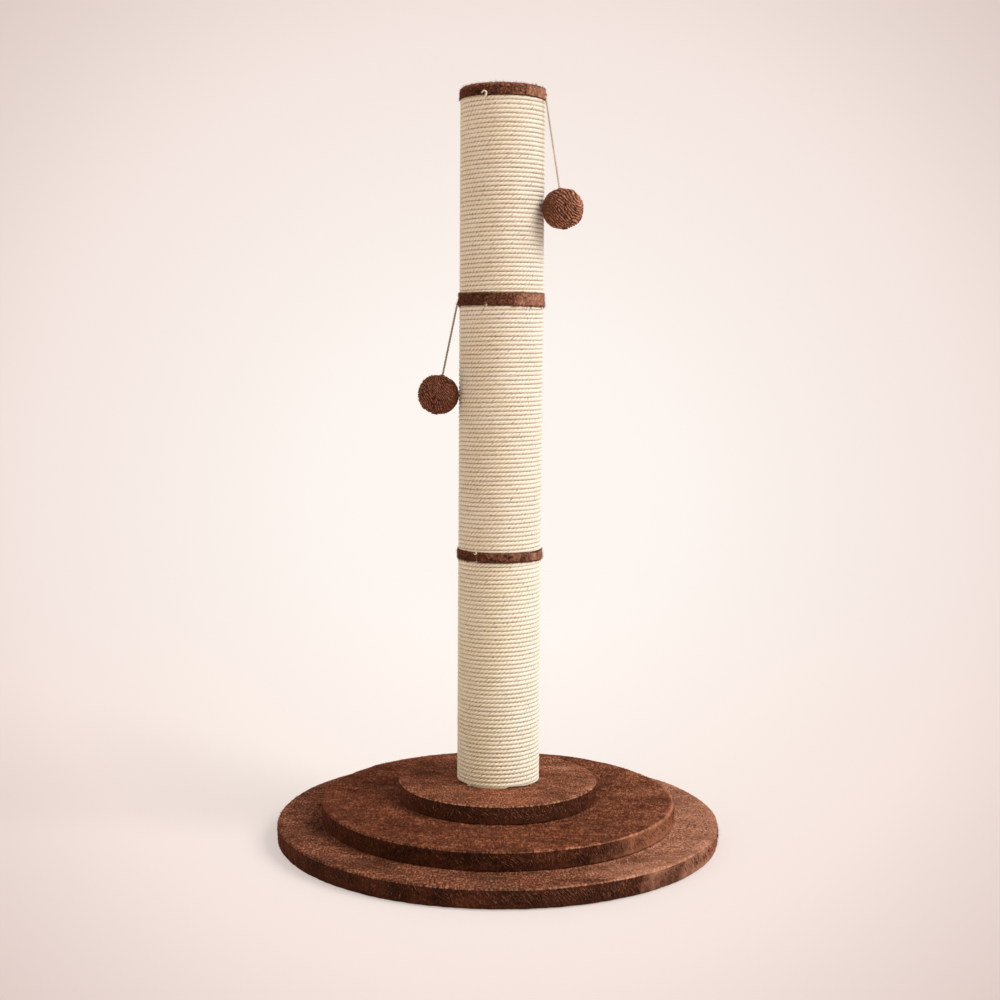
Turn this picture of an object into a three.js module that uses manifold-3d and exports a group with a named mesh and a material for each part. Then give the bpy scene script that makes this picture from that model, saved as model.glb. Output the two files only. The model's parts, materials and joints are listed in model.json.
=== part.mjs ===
// Cat scratching post. Three plush-covered boards are stacked into a stepped
// round base. A post of three rope-wound cardboard tubes stands on it, with a
// plush band over each joint and a plush cap on top. Two plush balls hang
// beside the post, one from the cap and one from the upper band.
//
// Millimetres, +Z up. The origin is the centre of the base's underside, and
// -Y is the front.

import * as THREE from 'three';
import { mergeVertices } from 'three/addons/utils/BufferGeometryUtils.js';
import Module from 'manifold-3d';

const wasm = await Module();
wasm.setup();

// ---------------------------------------------------------------------------
// Driving dimensions
// ---------------------------------------------------------------------------

// Fits
const CLEARANCE = 0.3; // between any two pieces that touch in use
const TURN_GAP = 0.8; // between neighbouring turns of a winding

// Base: three tiers, each a board wrapped in plush
const LOWER_TIER_RADIUS = 240.5;
const MIDDLE_TIER_RADIUS = 192.5;
const UPPER_TIER_RADIUS = 108.5;
const BOARD_THICKNESS = 16;
const PLUSH_TOP = 2.6; // pile and backing over a board
const PLUSH_SIDE = 2.2; // the same, pulled tight round an edge
const HEM_THICKNESS = 1.2; // folded under the board and stapled
const HEM_WIDTH = 25;
const TOP_EDGE_ROUNDING = 4;
const HEM_EDGE_ROUNDING = 2;
const BACKING_THICKNESS = 1;
const BACKING_INSET = 12; // from the lower tier's rim

// Post: rope over cardboard tubes
const TUBE_RADIUS = 40;
const TUBE_WALL = 5;
const ROPE_THICKNESS = 5;
const LOWER_WINDING_HEIGHT = 244;
const MIDDLE_WINDING_HEIGHT = 260.6;
const UPPER_WINDING_HEIGHT = 202;
const LOWER_BAND_HEIGHT = 9.7;
const UPPER_BAND_HEIGHT = 12.7;
const PLUSH_PROUD = 1; // how far the bands and the cap stand out past the rope
const WINDING_START = THREE.MathUtils.degToRad(-114); // where the rope's ends lie
const ROPE_LOOPS = 24; // turns in each winding
const ROPE_STEPS = 14; // stations in each turn

// Cap
const CAP_BOARD_THICKNESS = 10;

// Fasteners
const PLUG_THICKNESS = 18;
const THREAD_RADIUS = 4; // bolt and studs
const INSERT_WALL = 2;
const INSERT_LENGTH = 15;
const BOLT_HEAD_RADIUS = 6.5;
const BOLT_HEAD_HEIGHT = 5;
const BOLT_REACH = 22; // above the foot of the post
const STUD_REACH = 22; // into each tube
const WASHER_RADIUS = 12;
const WASHER_THICKNESS = 1.6;
const POCKET_MARGIN = 2; // round the washer, for the spanner
const POCKET_HEADROOM = 2.5; // below the bolt's head
const SCREW_RADIUS = 2;
const SCREW_HEAD_RADIUS = 4;
const SCREW_HEAD_HEIGHT = 2.4;
const SCREW_POINT = 3;
const SCREW_BITE = 11; // into the piece that it holds
const SCREW_HEM_MARGIN = 14; // from the hem to the screws of a tier
const LOWER_SCREW_COUNT = 4;
const UPPER_SCREW_COUNT = 3;
const CAP_SCREW_COUNT = 2;
const CAP_SCREW_CIRCLE_RADIUS = 20;

// Toys: a ball on a cord, which swings from a knot at the plush's lower edge
const CORD_RADIUS = 0.9;
const CORD_NOTCH_RISE = 1.2; // from the plush's lower edge to the cord's centre
const ANCHOR_LENGTH = 5.4; // cord held under the plush
const PIVOT_KNOT_RADIUS = 1.3;
const END_KNOT_RADIUS = 2;
const END_KNOT_DEPTH = 14; // from the ball's centre to the seat of its knot
const BALL_RADIUS = 21.8;
const BALL_PILE = 2.3;
const UPPER_CORD_LENGTH = 95; // free, from the knot to the ball
const LOWER_CORD_LENGTH = 76;
const UPPER_TOY_ANGLE = THREE.MathUtils.degToRad(-19);
const LOWER_TOY_ANGLE = THREE.MathUtils.degToRad(188);

// Facets round each kind of piece
const TIER_SEGMENTS = 48;
const POST_SEGMENTS = 28;
const BALL_SEGMENTS = 16;
const FASTENER_SEGMENTS = 8;
const POCKET_SEGMENTS = 16;
const HEXAGON = 6;
const CORD_SIDES = 8;
const CORD_STEP = 3; // in cord diameters
const EDGE_STEPS = 2; // facets across a rounded plush edge
const BALL_STEPS = 8; // facets from a ball's bottom to its top
const WELD_TOLERANCE = 1e-4;

// ---------------------------------------------------------------------------
// Sizes that follow
// ---------------------------------------------------------------------------

const TIER_PITCH = HEM_THICKNESS + BOARD_THICKNESS + PLUSH_TOP + 3 * CLEARANCE;
const TIER_BOTTOM = BACKING_THICKNESS + CLEARANCE;
const POST_FOOT = TIER_BOTTOM + 3 * TIER_PITCH;

const ROPE_OUTER_RADIUS = TUBE_RADIUS + ROPE_THICKNESS;
const PLUSH_RADIUS = ROPE_OUTER_RADIUS + PLUSH_PROUD;
const TUBE_BORE_RADIUS = TUBE_RADIUS - TUBE_WALL;

// Heights of the pieces round the post, from the foot up
const LOWER_BAND_LOW = POST_FOOT + LOWER_WINDING_HEIGHT + CLEARANCE;
const MIDDLE_WINDING_LOW = LOWER_BAND_LOW + LOWER_BAND_HEIGHT + CLEARANCE;
const UPPER_BAND_LOW = MIDDLE_WINDING_LOW + MIDDLE_WINDING_HEIGHT + CLEARANCE;
const UPPER_WINDING_LOW = UPPER_BAND_LOW + UPPER_BAND_HEIGHT + CLEARANCE;
const POST_TOP = UPPER_WINDING_LOW + UPPER_WINDING_HEIGHT;
const CAP_LOW = POST_TOP + CLEARANCE;

// The tubes meet behind the middle of each band
const LOWER_JOINT = LOWER_BAND_LOW + LOWER_BAND_HEIGHT / 2;
const UPPER_JOINT = UPPER_BAND_LOW + UPPER_BAND_HEIGHT / 2;

const THREAD_HOLE_RADIUS = THREAD_RADIUS + CLEARANCE;
const INSERT_RADIUS = THREAD_HOLE_RADIUS + INSERT_WALL;
const SCREW_HOLE_RADIUS = SCREW_RADIUS + CLEARANCE;
const POCKET_RADIUS = WASHER_RADIUS + POCKET_MARGIN;
const POCKET_DEPTH = POCKET_HEADROOM + BOLT_HEAD_HEIGHT + WASHER_THICKNESS + 2 * CLEARANCE;

const CORD_HOLE_RADIUS = CORD_RADIUS + CLEARANCE;
const KNOT_HOLE_RADIUS = END_KNOT_RADIUS + CLEARANCE;
const PIVOT_RADIUS = PLUSH_RADIUS + CLEARANCE + PIVOT_KNOT_RADIUS;
const BALL_REST_RADIUS = ROPE_OUTER_RADIUS + CLEARANCE + BALL_RADIUS;

/** The board, cover and heights of one tier of the base, counted from below. */
function tier(radius, level) {
  const low = TIER_BOTTOM + level * TIER_PITCH;
  const boardRadius = radius - PLUSH_SIDE - CLEARANCE;
  const boardLow = low + HEM_THICKNESS + CLEARANCE;
  const boardHigh = boardLow + BOARD_THICKNESS;
  const top = boardHigh + CLEARANCE + PLUSH_TOP;
  const hemInnerRadius = boardRadius - HEM_WIDTH;
  const screwCircleRadius = hemInnerRadius - SCREW_HEM_MARGIN;
  return { radius, low, boardRadius, boardLow, boardHigh, top, hemInnerRadius, screwCircleRadius };
}

const LOWER_TIER = tier(LOWER_TIER_RADIUS, 0);
const MIDDLE_TIER = tier(MIDDLE_TIER_RADIUS, 1);
const UPPER_TIER = tier(UPPER_TIER_RADIUS, 2);

// ---------------------------------------------------------------------------
// Shapes
// ---------------------------------------------------------------------------

/** Turns a closed outline of [radius, height] points about the Z axis. */
function turned(outline, segments) {
  const points = outline.map(([radius, height]) => new THREE.Vector2(radius, height));
  return new THREE.LatheGeometry(points, segments).rotateX(Math.PI / 2);
}

/** A solid round rod or disc. */
function rod(radius, low, high, segments) {
  const geometry = new THREE.CylinderGeometry(radius, radius, high - low, segments);
  return geometry.rotateX(Math.PI / 2).translate(0, 0, (low + high) / 2);
}

/** A tube or a washer. */
function ring(innerRadius, outerRadius, low, high, segments) {
  return turned(
    [
      [innerRadius, low],
      [outerRadius, low],
      [outerRadius, high],
      [innerRadius, high],
      [innerRadius, low],
    ],
    segments,
  );
}

/** Points on a quarter circle from one angle to another, in degrees. */
function arc(centreRadius, centreHeight, rounding, fromDegrees, toDegrees) {
  const points = [];
  for (let step = 0; step <= EDGE_STEPS; step += 1) {
    const degrees = THREE.MathUtils.lerp(fromDegrees, toDegrees, step / EDGE_STEPS);
    const angle = THREE.MathUtils.degToRad(degrees);
    points.push([
      centreRadius + rounding * Math.cos(angle),
      centreHeight + rounding * Math.sin(angle),
    ]);
  }
  return points;
}

/** Points up the side of a sphere between a hole at its bottom and one at its top. */
function sphereSide(radius, bottomHoleRadius, topHoleRadius) {
  const from = Math.asin(bottomHoleRadius / radius) - Math.PI / 2;
  const to = Math.PI / 2 - Math.asin(topHoleRadius / radius);
  const points = [];
  for (let step = 0; step <= BALL_STEPS; step += 1) {
    const angle = THREE.MathUtils.lerp(from, to, step / BALL_STEPS);
    points.push([radius * Math.cos(angle), radius * Math.sin(angle)]);
  }
  return points;
}

/** Welds a closed geometry into a solid that can be cut. */
function solidOf(geometry) {
  const bare = geometry.clone();
  bare.deleteAttribute('normal');
  bare.deleteAttribute('uv');
  const welded = mergeVertices(bare, WELD_TOLERANCE);
  const corners = welded.index.array;
  const triangles = [];
  for (let first = 0; first < corners.length; first += 3) {
    const [a, b, c] = corners.slice(first, first + 3);
    if (a !== b && b !== c && c !== a) {
      triangles.push(a, b, c);
    }
  }
  const mesh = new wasm.Mesh({
    numProp: 3,
    vertProperties: new Float32Array(welded.attributes.position.array),
    triVerts: new Uint32Array(triangles),
  });
  return new wasm.Manifold(mesh);
}

/** Turns a solid back into a geometry. */
function geometryOf(solid) {
  const mesh = solid.getMesh();
  const geometry = new THREE.BufferGeometry();
  geometry.setAttribute('position', new THREE.BufferAttribute(mesh.vertProperties, 3));
  geometry.setIndex(new THREE.BufferAttribute(mesh.triVerts, 1));
  geometry.computeVertexNormals();
  return geometry;
}

/** Cuts every tool out of a geometry. */
function cut(geometry, tools) {
  let solid = solidOf(geometry);
  for (const tool of tools) {
    solid = solid.subtract(solidOf(tool));
  }
  return geometryOf(solid);
}

/** Joins two geometries that overlap into one body. */
function joined(first, second) {
  return geometryOf(solidOf(first).add(solidOf(second)));
}

/** The centres of equal places round a circle, as [x, y]. */
function circlePlaces(radius, count) {
  const places = [];
  for (let place = 0; place < count; place += 1) {
    const angle = ((place + 0.5) / count) * 2 * Math.PI;
    places.push([radius * Math.cos(angle), radius * Math.sin(angle)]);
  }
  return places;
}

// ---------------------------------------------------------------------------
// Assembly
// ---------------------------------------------------------------------------

const FINISHES = {
  plush: { color: '#5d3226', roughness: 0.95, metalness: 0 },
  sisal: { color: '#dcc7a6', roughness: 0.9, metalness: 0 },
  cord: { color: '#b9a88f', roughness: 0.85, metalness: 0 },
  cardboard: { color: '#b08d62', roughness: 0.9, metalness: 0 },
  board: { color: '#c7a87a', roughness: 0.85, metalness: 0 },
  backing: { color: '#2b2a2a', roughness: 0.95, metalness: 0 },
  stuffing: { color: '#e8e4dc', roughness: 0.95, metalness: 0 },
  steel: { color: '#b9bcc0', roughness: 0.35, metalness: 1 },
};

/** Adds one named piece in its own material. */
function add(parent, name, finish, geometry) {
  const mesh = new THREE.Mesh(geometry, new THREE.MeshStandardMaterial(FINISHES[finish]));
  mesh.name = name;
  parent.add(mesh);
  return mesh;
}

// ---------------------------------------------------------------------------
// Base
// ---------------------------------------------------------------------------

/** A plush wrap round a board: top, side and a hem under the edge. */
function tierCover({ radius, low, boardRadius, boardHigh, top, hemInnerRadius }, holes) {
  const innerRadius = boardRadius + CLEARANCE;
  const lowEdge = arc(radius - HEM_EDGE_ROUNDING, low + HEM_EDGE_ROUNDING, HEM_EDGE_ROUNDING, -90, 0);
  const highEdge = arc(radius - TOP_EDGE_ROUNDING, top - TOP_EDGE_ROUNDING, TOP_EDGE_ROUNDING, 0, 90);
  const outline = [
    [0, boardHigh + CLEARANCE],
    [innerRadius, boardHigh + CLEARANCE],
    [innerRadius, low + HEM_THICKNESS],
    [hemInnerRadius, low + HEM_THICKNESS],
    [hemInnerRadius, low],
    ...lowEdge,
    ...highEdge,
    [0, top],
  ];
  return cut(turned(outline, TIER_SEGMENTS), holes);
}

/** A countersunk wood screw that points along +Z from its head's face. */
function woodScrew(length) {
  return turned(
    [
      [0, 0],
      [SCREW_HEAD_RADIUS, 0],
      [SCREW_RADIUS, SCREW_HEAD_HEIGHT],
      [SCREW_RADIUS, length - SCREW_POINT],
      [0, length],
    ],
    FASTENER_SEGMENTS,
  );
}

/** The countersunk hole for a wood screw, in what it passes and enters. */
function screwHole(length) {
  const headHoleRadius = SCREW_HEAD_RADIUS + 2 * CLEARANCE;
  return turned(
    [
      [0, -CLEARANCE],
      [headHoleRadius, -CLEARANCE],
      [headHoleRadius, 0],
      [SCREW_HOLE_RADIUS, SCREW_HEAD_HEIGHT],
      [SCREW_HOLE_RADIUS, length + CLEARANCE],
      [0, length + CLEARANCE],
    ],
    FASTENER_SEGMENTS,
  );
}

/** The screws that hold a tier to the one below, with their holes. */
function tierScrews(below, above, count) {
  const length = above.boardLow + SCREW_BITE - below.boardLow;
  return circlePlaces(above.screwCircleRadius, count).map(([x, y]) => ({
    screw: woodScrew(length).translate(x, y, below.boardLow),
    hole: screwHole(length).translate(x, y, below.boardLow),
  }));
}

/** The hexagonal bolt that clamps the post to the base from beneath. */
function baseBolt(headLow) {
  const head = rod(BOLT_HEAD_RADIUS, headLow, headLow + BOLT_HEAD_HEIGHT, HEXAGON);
  const shankLow = headLow + BOLT_HEAD_HEIGHT / 2;
  const shank = rod(THREAD_RADIUS, shankLow, POST_FOOT + BOLT_REACH, FASTENER_SEGMENTS);
  return joined(head, shank);
}

function buildBase() {
  const base = new THREE.Group();
  const boltHole = rod(THREAD_HOLE_RADIUS, 0, POST_FOOT, FASTENER_SEGMENTS);
  const pocketHigh = LOWER_TIER.boardLow + POCKET_DEPTH;
  const pocket = rod(POCKET_RADIUS, -CLEARANCE, pocketHigh, POCKET_SEGMENTS);
  const lowerScrews = tierScrews(LOWER_TIER, MIDDLE_TIER, LOWER_SCREW_COUNT);
  const upperScrews = tierScrews(MIDDLE_TIER, UPPER_TIER, UPPER_SCREW_COUNT);
  const lowerHoles = lowerScrews.map(({ hole }) => hole);
  const upperHoles = upperScrews.map(({ hole }) => hole);

  const tiers = [
    { name: 'lower', size: LOWER_TIER, boardCuts: [pocket, ...lowerHoles], coverCuts: lowerHoles },
    { name: 'middle', size: MIDDLE_TIER, boardCuts: [...lowerHoles, ...upperHoles], coverCuts: upperHoles },
    { name: 'upper', size: UPPER_TIER, boardCuts: upperHoles, coverCuts: [] },
  ];
  for (const { name, size, boardCuts, coverCuts } of tiers) {
    const board = rod(size.boardRadius, size.boardLow, size.boardHigh, TIER_SEGMENTS);
    add(base, `${name}_board`, 'board', cut(board, [boltHole, ...boardCuts]));
    add(base, `${name}_cover`, 'plush', tierCover(size, [boltHole, ...coverCuts]));
  }

  const backingRadius = LOWER_TIER.radius - BACKING_INSET;
  add(base, 'base_backing', 'backing', cut(rod(backingRadius, 0, BACKING_THICKNESS, TIER_SEGMENTS), [pocket]));

  const washerHigh = pocketHigh - CLEARANCE;
  const washerLow = washerHigh - WASHER_THICKNESS;
  const washer = ring(THREAD_HOLE_RADIUS, WASHER_RADIUS, washerLow, washerHigh, FASTENER_SEGMENTS);
  add(base, 'base_washer', 'steel', washer);
  add(base, 'base_bolt', 'steel', baseBolt(washerLow - CLEARANCE - BOLT_HEAD_HEIGHT));

  lowerScrews.forEach(({ screw }, place) => add(base, `lower_screw_${place + 1}`, 'steel', screw));
  upperScrews.forEach(({ screw }, place) => add(base, `upper_screw_${place + 1}`, 'steel', screw));
  return base;
}

// ---------------------------------------------------------------------------
// Post
// ---------------------------------------------------------------------------

/**
 * The stations of one winding from bottom to top: where each section's centre
 * lies and which way is outward there. The rope's ends run straight for one
 * thickness, along the tube's tangent.
 */
function windingStations(low, pitch, centreRadius, halfHeight) {
  const stations = [];
  const lastStep = ROPE_LOOPS * ROPE_STEPS;
  for (let step = 0; step <= lastStep; step += 1) {
    const turns = step / ROPE_STEPS;
    const angle = WINDING_START + turns * 2 * Math.PI;
    const outward = new THREE.Vector3(Math.cos(angle), Math.sin(angle), 0);
    const centre = outward.clone().multiplyScalar(centreRadius);
    centre.z = low + halfHeight + turns * pitch;
    stations.push({ centre, outward });
  }
  const along = new THREE.Vector3(-Math.sin(WINDING_START), Math.cos(WINDING_START), 0);
  const first = stations[0];
  const last = stations[lastStep];
  const leadIn = first.centre.clone().addScaledVector(along, -ROPE_THICKNESS);
  const leadOut = last.centre.clone().addScaledVector(along, ROPE_THICKNESS);
  stations.unshift({ centre: leadIn, outward: first.outward });
  stations.push({ centre: leadOut, outward: last.outward });
  return stations;
}

/** The least distance between the corners of one turn and those of the next. */
function leastTurnGap(rings) {
  let least = Infinity;
  const halfTurn = Math.floor(ROPE_STEPS / 2);
  for (let first = 0; first < rings.length; first += 1) {
    const end = Math.min(rings.length, first + ROPE_STEPS + halfTurn);
    for (let second = first + halfTurn; second < end; second += 1) {
      for (const corner of rings[first]) {
        for (const other of rings[second]) {
          least = Math.min(least, corner.distanceTo(other));
        }
      }
    }
  }
  return least;
}

/** Joins rings of corners, in order, into one closed tube. */
function tubeThrough(rings) {
  const sides = rings[0].length;
  const positions = rings.flat().flatMap((corner) => corner.toArray());
  const triangles = [];
  for (let station = 0; station + 1 < rings.length; station += 1) {
    for (let side = 0; side < sides; side += 1) {
      const here = station * sides + side;
      const beside = station * sides + ((side + 1) % sides);
      triangles.push(here, here + sides, beside);
      triangles.push(beside, here + sides, beside + sides);
    }
  }
  const lastRing = (rings.length - 1) * sides;
  for (let side = 1; side + 1 < sides; side += 1) {
    triangles.push(0, side, side + 1);
    triangles.push(lastRing, lastRing + side + 1, lastRing + side);
  }
  const geometry = new THREE.BufferGeometry();
  geometry.setAttribute('position', new THREE.Float32BufferAttribute(positions, 3));
  geometry.setIndex(triangles);
  geometry.computeVertexNormals();
  return geometry;
}

/**
 * Rope wound round a tube in one unbroken length. A section has four corners:
 * outward, up, inward and down. Its inward corner clears the tube along each
 * straight step as well.
 */
function winding(name, low, height) {
  const pitch = (height + TURN_GAP) / (ROPE_LOOPS + 1);
  const halfHeight = (pitch - TURN_GAP) / 2;
  const innerRadius = (TUBE_RADIUS + CLEARANCE) / Math.cos(Math.PI / ROPE_STEPS);
  const centreRadius = (innerRadius + ROPE_OUTER_RADIUS) / 2;
  const halfThickness = (ROPE_OUTER_RADIUS - innerRadius) / 2;
  const up = new THREE.Vector3(0, 0, 1);
  const stations = windingStations(low, pitch, centreRadius, halfHeight);
  const rings = stations.map(({ centre, outward }) => [
    centre.clone().addScaledVector(outward, halfThickness),
    centre.clone().addScaledVector(up, halfHeight),
    centre.clone().addScaledVector(outward, -halfThickness),
    centre.clone().addScaledVector(up, -halfHeight),
  ]);
  console.log(`${name}: least gap between turns ${leastTurnGap(rings).toFixed(2)} mm`);
  return tubeThrough(rings);
}

/** A slot in a plush edge that lets a toy's cord out. */
function cordNotch(angle, edge) {
  const width = 2 * CORD_HOLE_RADIUS;
  const length = PIVOT_RADIUS - TUBE_RADIUS;
  const height = CORD_NOTCH_RISE + CORD_HOLE_RADIUS + CLEARANCE;
  const notch = new THREE.BoxGeometry(length, width, height);
  notch.translate(TUBE_RADIUS + length / 2, 0, edge - CLEARANCE + height / 2);
  return notch.rotateZ(angle);
}

/** A plush strip round the rope-free stretch at a joint. */
function band(low, height, cuts) {
  return cut(ring(TUBE_RADIUS + CLEARANCE, PLUSH_RADIUS, low, low + height, POST_SEGMENTS), cuts);
}

/** A tube, its two plugs and their inserts, between two heights. */
function addTube(post, name, low, high, holes) {
  add(post, `${name}_tube`, 'cardboard', ring(TUBE_BORE_RADIUS, TUBE_RADIUS, low, high, POST_SEGMENTS));
  const ends = [
    { end: 'bottom', plugLow: low, insertLow: low },
    { end: 'top', plugLow: high - PLUG_THICKNESS, insertLow: high - INSERT_LENGTH },
  ];
  for (const { end, plugLow, insertLow } of ends) {
    const plug = rod(TUBE_BORE_RADIUS - CLEARANCE, plugLow, plugLow + PLUG_THICKNESS, POST_SEGMENTS);
    const hole = holes[end];
    if (hole) {
      add(post, `${name}_${end}_plug`, 'board', cut(plug, hole));
    } else {
      const insertHole = rod(INSERT_RADIUS + CLEARANCE, low, high, FASTENER_SEGMENTS);
      const insertHigh = insertLow + INSERT_LENGTH;
      const insert = ring(THREAD_HOLE_RADIUS, INSERT_RADIUS, insertLow, insertHigh, FASTENER_SEGMENTS);
      add(post, `${name}_${end}_plug`, 'board', cut(plug, [insertHole]));
      add(post, `${name}_${end}_insert`, 'steel', insert);
    }
  }
}

/** A plush cap over a round board, screwed down onto the top plug. */
function addCap(post, capScrews) {
  const boardRadius = PLUSH_RADIUS - PLUSH_SIDE - CLEARANCE;
  const boardHigh = CAP_LOW + CAP_BOARD_THICKNESS;
  const innerRadius = boardRadius + CLEARANCE;
  const top = boardHigh + CLEARANCE + PLUSH_TOP;
  const notch = cordNotch(UPPER_TOY_ANGLE, CAP_LOW);
  const board = rod(boardRadius, CAP_LOW, boardHigh, POST_SEGMENTS);
  add(post, 'cap_board', 'board', cut(board, [notch, ...capScrews.map(({ hole }) => hole)]));

  const outline = [
    [0, boardHigh + CLEARANCE],
    [innerRadius, boardHigh + CLEARANCE],
    [innerRadius, CAP_LOW],
    [PLUSH_RADIUS, CAP_LOW],
    ...arc(PLUSH_RADIUS - TOP_EDGE_ROUNDING, top - TOP_EDGE_ROUNDING, TOP_EDGE_ROUNDING, 0, 90),
    [0, top],
  ];
  add(post, 'cap_cover', 'plush', cut(turned(outline, POST_SEGMENTS), [notch]));
  capScrews.forEach(({ screw }, place) => add(post, `cap_screw_${place + 1}`, 'steel', screw));
}

function buildPost() {
  const post = new THREE.Group();
  const capScrewLength = CAP_BOARD_THICKNESS + CLEARANCE + SCREW_BITE;
  const capScrewHead = CAP_LOW + CAP_BOARD_THICKNESS;
  const capScrews = circlePlaces(CAP_SCREW_CIRCLE_RADIUS, CAP_SCREW_COUNT).map(([x, y]) => ({
    screw: woodScrew(capScrewLength).rotateX(Math.PI).translate(x, y, capScrewHead),
    hole: screwHole(capScrewLength).rotateX(Math.PI).translate(x, y, capScrewHead),
  }));
  const capScrewHoles = capScrews.map(({ hole }) => hole);

  addTube(post, 'lower', POST_FOOT, LOWER_JOINT - CLEARANCE / 2, {});
  addTube(post, 'middle', LOWER_JOINT + CLEARANCE / 2, UPPER_JOINT - CLEARANCE / 2, {});
  addTube(post, 'upper', UPPER_JOINT + CLEARANCE / 2, POST_TOP, { top: capScrewHoles });

  for (const [name, joint] of [['lower', LOWER_JOINT], ['upper', UPPER_JOINT]]) {
    const stud = rod(THREAD_RADIUS, joint - STUD_REACH, joint + STUD_REACH, FASTENER_SEGMENTS);
    add(post, `${name}_stud`, 'steel', stud);
  }

  const windings = [
    ['lower_winding', POST_FOOT, LOWER_WINDING_HEIGHT],
    ['middle_winding', MIDDLE_WINDING_LOW, MIDDLE_WINDING_HEIGHT],
    ['upper_winding', UPPER_WINDING_LOW, UPPER_WINDING_HEIGHT],
  ];
  for (const [name, low, height] of windings) {
    add(post, name, 'sisal', winding(name, low, height));
  }

  const notch = cordNotch(LOWER_TOY_ANGLE, UPPER_BAND_LOW);
  add(post, 'lower_band', 'plush', band(LOWER_BAND_LOW, LOWER_BAND_HEIGHT, []));
  add(post, 'upper_band', 'plush', band(UPPER_BAND_LOW, UPPER_BAND_HEIGHT, [notch]));
  addCap(post, capScrews);
  return post;
}

// ---------------------------------------------------------------------------
// Toys
// ---------------------------------------------------------------------------

/** A straight length of cord between two points. */
function cordBetween(start, end) {
  const section = new THREE.Shape();
  for (let side = 0; side < CORD_SIDES; side += 1) {
    const angle = (side / CORD_SIDES) * 2 * Math.PI;
    const x = CORD_RADIUS * Math.cos(angle);
    const y = CORD_RADIUS * Math.sin(angle);
    if (side === 0) {
      section.moveTo(x, y);
    } else {
      section.lineTo(x, y);
    }
  }
  const steps = Math.ceil(start.distanceTo(end) / (CORD_STEP * 2 * CORD_RADIUS));
  const extrudePath = new THREE.LineCurve3(start, end);
  return new THREE.ExtrudeGeometry(section, { steps, bevelEnabled: false, extrudePath });
}

/** The ball's pile, a shell open at the cord and at the knot. */
function ballCover() {
  const outer = sphereSide(BALL_RADIUS, KNOT_HOLE_RADIUS, CORD_HOLE_RADIUS);
  const inner = sphereSide(BALL_RADIUS - BALL_PILE, KNOT_HOLE_RADIUS, CORD_HOLE_RADIUS).reverse();
  return turned([...outer, ...inner, outer[0]], BALL_SEGMENTS);
}

/** The ball's stuffing, bored for the cord, with a seat for the knot. */
function ballCore() {
  const radius = BALL_RADIUS - BALL_PILE - CLEARANCE;
  const side = sphereSide(radius, KNOT_HOLE_RADIUS, CORD_HOLE_RADIUS);
  const seat = [
    [CORD_HOLE_RADIUS, -END_KNOT_DEPTH],
    [KNOT_HOLE_RADIUS, -END_KNOT_DEPTH],
  ];
  return turned([...side, ...seat, side[0]], BALL_SEGMENTS);
}

/**
 * A ball that hangs beside the post and leans on the rope. The outer group
 * stands at the toy's angle round the post. The inner one hangs from the
 * knot, with its -Z along the cord.
 */
function buildToy(name, angle, edge, cordLength) {
  const height = edge + CORD_NOTCH_RISE;
  const reach = cordLength + BALL_RADIUS;
  const tilt = Math.asin((BALL_REST_RADIUS - PIVOT_RADIUS) / reach);

  const side = new THREE.Group();
  side.rotation.z = angle;
  const anchorEnd = PIVOT_RADIUS - PIVOT_KNOT_RADIUS - CLEARANCE;
  const anchor = cordBetween(
    new THREE.Vector3(anchorEnd - ANCHOR_LENGTH, 0, height),
    new THREE.Vector3(anchorEnd, 0, height),
  );
  add(side, `${name}_cord_anchor`, 'cord', anchor);

  const hanging = new THREE.Group();
  hanging.position.set(PIVOT_RADIUS, 0, height);
  hanging.rotation.y = -tilt;
  side.add(hanging);

  const knot = new THREE.SphereGeometry(PIVOT_KNOT_RADIUS, CORD_SIDES, CORD_SIDES / 2);
  add(hanging, `${name}_cord_knot`, 'cord', knot);
  const cord = cordBetween(
    new THREE.Vector3(0, 0, -PIVOT_KNOT_RADIUS - CLEARANCE),
    new THREE.Vector3(0, 0, -reach - END_KNOT_DEPTH),
  );
  add(hanging, `${name}_cord`, 'cord', cord);

  const endKnot = new THREE.SphereGeometry(END_KNOT_RADIUS, CORD_SIDES, CORD_SIDES / 2);
  endKnot.translate(0, 0, -reach - END_KNOT_DEPTH - CLEARANCE - END_KNOT_RADIUS);
  add(hanging, `${name}_end_knot`, 'cord', endKnot);
  add(hanging, `${name}_ball_core`, 'stuffing', ballCore().translate(0, 0, -reach));
  add(hanging, `${name}_ball_cover`, 'plush', ballCover().translate(0, 0, -reach));
  return side;
}

const scratchingPost = new THREE.Group();
scratchingPost.add(buildBase());
scratchingPost.add(buildPost());
scratchingPost.add(buildToy('upper', UPPER_TOY_ANGLE, CAP_LOW, UPPER_CORD_LENGTH));
scratchingPost.add(buildToy('lower', LOWER_TOY_ANGLE, UPPER_BAND_LOW, LOWER_CORD_LENGTH));

export default scratchingPost;
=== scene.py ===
"""The looks of a cat scratching post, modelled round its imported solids.

Everything is in metres, +Z up, in the frame of the solids: the origin is the
centre of the base's underside and -Y is the front. Sizes come from the solids
wherever the solids have them.
"""

import itertools
import json
import logging
import math
from dataclasses import dataclass, replace
from enum import Enum
from functools import lru_cache
from typing import Union

import bpy
import numpy as np
from mathutils import Matrix, Vector
from numpy.linalg import norm


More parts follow.
